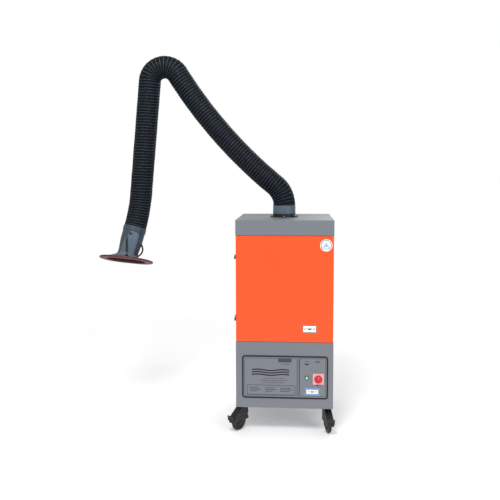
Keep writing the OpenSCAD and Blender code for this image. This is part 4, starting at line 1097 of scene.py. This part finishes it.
def tyre_profile():
    """The tyre's section as (radius, height): a shallow crown, round shoulders and a bead at the hub."""
    crown, shoulder = [], 0.0065
    for step in range(9):
        angle = math.pi / 2 * step / 8
        crown.append((TYRE_R - 0.0010 - shoulder + shoulder * math.cos(angle),
                      TYRE_HALF - shoulder + shoulder * math.sin(angle)))
    tread = [(TYRE_R, 0.0), (TYRE_R - 0.0003, 0.003)] + crown
    side = [(HUB_R + 0.004, TYRE_HALF), (HUB_R + 0.0026, TYRE_HALF - 0.0012), (HUB_R, TYRE_HALF - 0.0012)]
    half = tread + side
    mirrored = [(r, -h) for r, h in reversed(half)][:-1]
    return half + mirrored


def hub_half(radius, angle):
    """Half the hub's thickness at a place on the disc."""
    web, boss, ring = 0.0052, 0.0158, 0.0112
    near_rib = abs((angle / (math.pi / 3) + 0.5) % 1 - 0.5) * (math.pi / 3) * radius
    rib = 0.0045 * soft_step(near_rib, 0.0030, 0.0018) * soft_step(radius, 0.046, 0.043)
    hub = (boss - web) * soft_step(radius, 0.0185, 0.0165)
    edge = (ring - web) * soft_step(radius, 0.0405, 0.0420)
    cap = 0.0014 * soft_step(radius, 0.0104, 0.0096)
    return max(web + rib, web + hub - cap, web + edge)


def hub_rows():
    """Rings of (radius, side) across the hub: out along one face and back along the other."""
    radii = [0.0061, 0.0090, 0.0097, 0.0103, 0.0110, 0.0162, 0.0167, 0.0173, 0.0180, 0.0187, 0.0250,
             0.0320, 0.0400, 0.0407, 0.0413, 0.0420, 0.0428, 0.0440, 0.0462, HUB_R]
    return [(r, 1) for r in radii] + [(r, -1) for r in reversed(radii)]


def build_wheel(place, axis, body, node):
    """One wheel: tyre and hub, riding on the wheel's body."""
    tyre = lathe(node + "_tyre", tyre_profile(), place, axis, tyre_rubber, 128)
    turn = Vector(axis).to_track_quat("Z", "Y").to_matrix()
    around, rows, points = 216, hub_rows(), []
    for radius, side in rows:
        for step in range(around):
            angle = 2 * math.pi * step / around
            height = side * hub_half(radius, angle)
            at = Vector((radius * math.cos(angle), radius * math.sin(angle), height))
            points.append(Vector(place) + turn @ at)
    faces = grid_faces(len(rows), around) + closing_faces(len(rows), around)
    hub = make_piece(node + "_hub", points, faces, hub_plastic)
    mount(tyre, body, "tyre", node)
    mount(hub, body, "black_plastic")
    return len(tyre.data.polygons) + len(hub.data.polygons)


wheels = [
    ("front_left_wheel_spin", "front_left_wheel", "left_castor_wheel"),
    ("front_right_wheel_spin", "front_right_wheel", "right_castor_wheel"),
    ("back_left_wheel_spin", "back_left_wheel", "rear_left_wheel"),
    ("back_right_wheel_spin", "back_right_wheel", "rear_right_wheel"),
]
for joint, body, node in wheels:
    count = build_wheel(joints[joint]["pos_m"], joints[joint]["axis"], body, node)
print("four wheels of", count, "faces each")

# %% [markdown]
# # A switch knob you can grip
# The main switch is a round skirt with a bar across it. Both are stacks of outlines: the same rounded
# shape repeated at several heights, a little smaller each time near the top so that the edge is soft.

# %% Main switch
KNOB_AT = Vector(joints["switch_turn"]["pos_m"])


def stack(name, outlines, material, to_world):
    """Joins outlines of equal length at successive heights and closes both ends."""
    count = len(outlines[0][1])
    points = [to_world(x, z, height) for height, outline in outlines for x, z in outline]
    faces = grid_faces(len(outlines), count) + end_faces(len(outlines), count)
    return make_piece(name, points, faces, material)


def fluted(radius, depth):
    """A circle with shallow finger flutes."""
    flutes, outline = 24, []
    steps = flutes * 8
    for step in range(steps):
        angle = 2 * math.pi * step / steps
        reach = radius - depth * (0.5 - 0.5 * math.cos(flutes * angle))
        outline.append((reach * math.cos(angle), reach * math.sin(angle)))
    return outline


plate_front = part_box("switch_plate")[0].y


def at_knob(x, z, height):
    """A place on the knob, height measured out from the switch plate."""
    return Vector((KNOB_AT.x + x, plate_front - height, KNOB_AT.z + z))


skirt = stack("knob_skirt", [
    (0.0004, fluted(0.0262, 0.0002)), (0.0012, fluted(0.0270, 0.0006)), (0.0056, fluted(0.0268, 0.0010)),
    (0.0070, fluted(0.0260, 0.0006)), (0.0078, fluted(0.0246, 0.0001)), (0.0080, fluted(0.0225, 0.0))],
    knob_red, at_knob)
grip_levels = [(0.0076, 0.0, 0.0), (0.0090, 0.0006, 0.0004), (0.0180, 0.0010, 0.0008),
               (0.0205, 0.0016, 0.0014), (0.0216, 0.0028, 0.0026), (0.0219, 0.0042, 0.0042)]
grip = stack("knob_grip", [
    (height, outline_at(0.0075 - less, 0.0245 - long_less, 0.0070 - less, 10))
    for height, less, long_less in grip_levels], knob_red, at_knob)
pointer = stack("knob_pointer", [
    (height, [(x, z + 0.0135) for x, z in outline_at(0.0010 - less, 0.0070 - less, 0.0009 - less, 4)])
    for height, less in ((0.0212, 0.0), (0.0221, 0.0), (0.0223, 0.0003))], white_film, at_knob)
mount(skirt, "knob", "switch_red", "switch_knob")
mount(grip, "knob", "switch_red")
mount(pointer, "knob", "switch_plate")
print("the switch knob has", sum(len(p.data.polygons) for p in (skirt, grip, pointer)), "faces")

# %% [markdown]
# # Print and stickers
# The front carries print and a few stickers. Each is real geometry a tenth of a millimetre thick. Three
# helpers make them all: a filled outline, a stroke along a line, and a ring. The marks are plain symbols
# of air, flow and level; there is no lettering.

# %% Helpers for print
PRINT_T = 0.00012


def filled(parts, centre, outline):
    """Adds a solid outline to the parts of a print."""
    parts.append([(centre[0] + x, centre[1] + z) for x, z in outline])


def stroke(parts, line, width):
    """Adds a line of even width, cut into overlapping quads."""
    for (x0, z0), (x1, z1) in zip(line, line[1:]):
        run = math.hypot(x1 - x0, z1 - z0)
        nx, nz = -(z1 - z0) / run * width / 2, (x1 - x0) / run * width / 2
        parts.append([(x0 + nx, z0 + nz), (x0 - nx, z0 - nz), (x1 - nx, z1 - nz), (x1 + nx, z1 + nz)])


def frame_strokes(parts, centre, half_w, half_h, radius, width):
    """Adds the outline of a rounded box."""
    line = [(centre[0] + x, centre[1] + z) for x, z in outline_at(half_w, half_h, radius, 6)]
    stroke(parts, line + line[:1], width)


def circle(radius, steps=64, start=0.0, turn=360.0):
    """Points on a circle, or on part of one, in degrees from the right."""
    count = steps if turn == 360.0 else steps + 1
    return [(radius * math.cos(math.radians(start + turn * i / steps)),
             radius * math.sin(math.radians(start + turn * i / steps))) for i in range(count)]


def print_on(name, parts, front, material, body, slot, layer=0):
    """Makes one piece of all the parts, standing just proud of the surface at y = front."""
    points, faces = [], []
    near = front - PRINT_T * (layer + 1)
    for outline in parts:
        area = sum(x0 * z1 - x1 * z0 for (x0, z0), (x1, z1) in zip(outline, outline[1:] + outline[:1]))
        ring = outline if area > 0 else outline[::-1]
        base, count = len(points), len(ring)
        points += [Vector((x, near, z)) for x, z in ring] + [Vector((x, front + 0.0001, z)) for x, z in ring]
        faces.append(tuple(range(base, base + count)))
        faces += [(base + i, base + count + i, base + count + (i + 1) % count, base + (i + 1) % count)
                  for i in range(count)]
    mesh = bpy.data.meshes.new(name)
    mesh.from_pydata([tuple(p) for p in points], [], faces)
    mesh.materials.append(material)
    piece = bpy.data.objects.new(name, mesh)
    bpy.context.scene.collection.objects.link(piece)
    return mount(piece, body, slot)


print("print is", round(PRINT_T * 1000, 2), "mm thick")

# %% [markdown]
# # What the front says without words
# The control plate is divided by thin lines, with a flow mark in the large field, rows of dashes where small
# print would stand, an hour meter, and icons beside the lamp and the switch. The dashes differ in length by
# a fixed rule, so they look set by hand and still come out the same on every run.

# %% Print on the control plate
PANEL_FRONT, DOOR_FRONT = [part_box(sheet)[0].y for sheet in ("control_plate", "door")]


def wave_line(centre, half_w, height, count=40):
    """A flowing line, one and a half waves long."""
    return [(centre[0] - half_w + 2 * half_w * i / count,
             centre[1] + height * math.sin(3 * math.pi * i / count)) for i in range(count + 1)]


fields = []
frame_strokes(fields, (-0.091, 0.391), 0.176, 0.128, 0.006, 0.0030)
frame_strokes(fields, (0.190, 0.3915), 0.086, 0.1285, 0.006, 0.0030)
stroke(fields, [(0.0895, 0.262), (0.0895, 0.520)], 0.0020)
stroke(fields, [(0.0990, 0.262), (0.0990, 0.520)], 0.0050)
frame_strokes(fields, (-0.0895, 0.3005), 0.1615, 0.0325, 0.009, 0.0038)
print_on("panel_field_lines", fields, PANEL_FRONT, faint_ink, "root", "rubber")

mark = []
for drop in (0.0, 0.0165, 0.033):
    stroke(mark, wave_line((-0.093, 0.438 - drop), 0.126, 0.0042), 0.0088)
print_on("air_flow_mark", mark, PANEL_FRONT, dark_ink, "root", "black_plastic")

small = []
for row, (left, right) in enumerate([(-0.142, 0.002), (-0.165, 0.025), (-0.142, 0.000)]):
    x, z = left, 0.381 - 0.0145 * row
    for dash in range(40):
        step = 0.0045 + 0.004 * ((dash * 7 + row * 3) % 4) / 3
        if x + step > right:
            break
        stroke(small, [(x, z), (x + step, z)], 0.0046)
        x += step + 0.0022
for left, right in ((-0.234, -0.160), (-0.129, -0.054), (-0.030, 0.056)):
    for row in range(3):
        end, z = right - 0.012 * ((row * 2 + 1) % 3), 0.3145 - 0.0115 * row
        stroke(small, [(left, z), (end, z)], 0.0044)
stroke(small, [(-0.026, 0.4795), (0.036, 0.4795)], 0.0034)
print_on("small_print_rows", small, PANEL_FRONT, faint_ink, "root", "rubber", 1)
print("the large field has", len(mark) + len(small), "strokes")

# %% [markdown]
# # Meter window, icons and bands
# A dark window with seven marks stands for the hour meter. It lies a few layers further out than the lines
# around it, and its marks one layer more. The icons and the two blue bands are filled outlines and strokes.

# %% Hour meter, icons and blue bands
display = []
filled(display, (0.0035, 0.5055), outline_at(0.0445, 0.0135, 0.0025))
print_on("hour_meter_window", display, PANEL_FRONT, display_film, "root", "black_plastic", 3)
level_marks = []
for index in range(7):
    x = -0.026 + 0.010 * index
    stroke(level_marks, [(x, 0.4990), (x, 0.5060)], 0.0014)
print_on("hour_meter_marks", level_marks, PANEL_FRONT, faint_ink, "root", "rubber", 4)

icons = []
bowl = [(-0.017, 0.0), (-0.011, -0.0075), (0.0, -0.0105), (0.011, -0.0075), (0.017, 0.0)]
filled(icons, (0.150, 0.4860), bowl)
stroke(icons, [(0.135, 0.4995), (0.165, 0.4995)], 0.0026)
filled(icons, (0.222, 0.3375), [(-0.009, 0.004), (0.0, -0.007), (0.009, 0.004)])
stroke(icons, [(0.206, 0.4945), (0.238, 0.4945)], 0.0034)
stroke(icons, [(0.206, 0.5035), (0.238, 0.5035)], 0.0034)
print_on("flow_and_level_icons", icons, PANEL_FRONT, dark_ink, "root", "black_plastic")

blue = []
filled(blue, (0.1885, 0.3135), outline_at(0.0515, 0.0050, 0.001))
filled(blue, (0.1885, 0.2725), outline_at(0.0515, 0.0050, 0.001))
print_on("blue_label_bands", blue, PANEL_FRONT, blue_ink, "root", "switch_plate")
print("the right field has", len(level_marks) + len(icons) + len(blue), "marks")

# %% [markdown]
# # White labels
# Two small white labels, one on the control plate and one on the door, carry the same plain mark. A label
# is a rounded sheet of film, and its mark is a second layer a print's thickness further out.

# %% Labels on the control plate and the door
def dash_dish_dash(parts, centre, scale):
    """A plain generic mark for a label: a dash, a dished shape and a dash."""
    x, z = centre
    for near, far in ((-2.4, -1.6), (1.6, 2.4)):
        stroke(parts, [(x + near * scale, z), (x + far * scale, z)], 0.3 * scale)
    dish = [(-1, 0.45), (-0.4, 0.2), (0.4, 0.2), (1, 0.45), (0.6, -0.35), (-0.6, -0.35)]
    filled(parts, centre, [(scale * x, scale * z) for x, z in dish])


for name, centre, half_w, half_h, front, scale in (
        ("panel_label", (0.1875, 0.2930), 0.0405, 0.0140, PANEL_FRONT, 0.0125),
        ("door_label", (0.1680, 0.7220), 0.0455, 0.0240, DOOR_FRONT, 0.0150)):
    body = "door" if front == DOOR_FRONT else "root"
    white, ink = [], []
    filled(white, centre, outline_at(half_w, half_h, 0.002))
    dash_dish_dash(ink, centre, scale)
    print_on(name, white, front, white_film, body, "switch_plate")
    print_on(name + "_mark", ink, front, dark_ink, body, "black_plastic", 1)
border = []
frame_strokes(border, (0.1680, 0.7220), 0.0450, 0.0235, 0.002, 0.0030)
print_on("door_label_border", border, DOOR_FRONT, faint_ink, "door", "rubber", 1)
print("the control plate and the door have their print")

# %% [markdown]
# # The round sticker
# High on the door sits a white disc with a teal ring and rising strokes. It is four thin pieces: the disc
# first, then ring, strokes and arc one print's thickness further out, so that they never fight for depth.

# %% Round sticker on the door
STICKER = (0.275, 1.285)


def round_sticker():
    """White disc with a teal ring left open at the foot, and three rising strokes inside."""
    disc, ring, inner, pale = [], [], [], []
    filled(disc, STICKER, circle(0.0405, 96))
    arc = [(STICKER[0] + x, STICKER[1] + z) for x, z in circle(0.0335, 72, -60, 300)]
    stroke(ring, arc, 0.0042)
    for x, high in ((-0.013, 0.004), (0.0, 0.017), (0.013, 0.004)):
        foot, head = (STICKER[0] + x, STICKER[1] - 0.012), (STICKER[0] + x * 0.55, STICKER[1] + high)
        stroke(inner, [foot, head], 0.0050)
    low_arc = [(STICKER[0] + x, STICKER[1] + z) for x, z in circle(0.0245, 30, 205, 130)]
    stroke(pale, low_arc, 0.0040)
    print_on("round_sticker", disc, DOOR_FRONT, white_film, "door", "switch_plate")
    print_on("round_sticker_ring", ring, DOOR_FRONT, teal_ink, "door", "lamp_green", 1)
    print_on("round_sticker_strokes", inner, DOOR_FRONT, teal_ink, "door", "lamp_green", 1)
    print_on("round_sticker_arc", pale, DOOR_FRONT, pale_teal_ink, "door", "lamp_green", 1)


round_sticker()
print("the door has its sticker")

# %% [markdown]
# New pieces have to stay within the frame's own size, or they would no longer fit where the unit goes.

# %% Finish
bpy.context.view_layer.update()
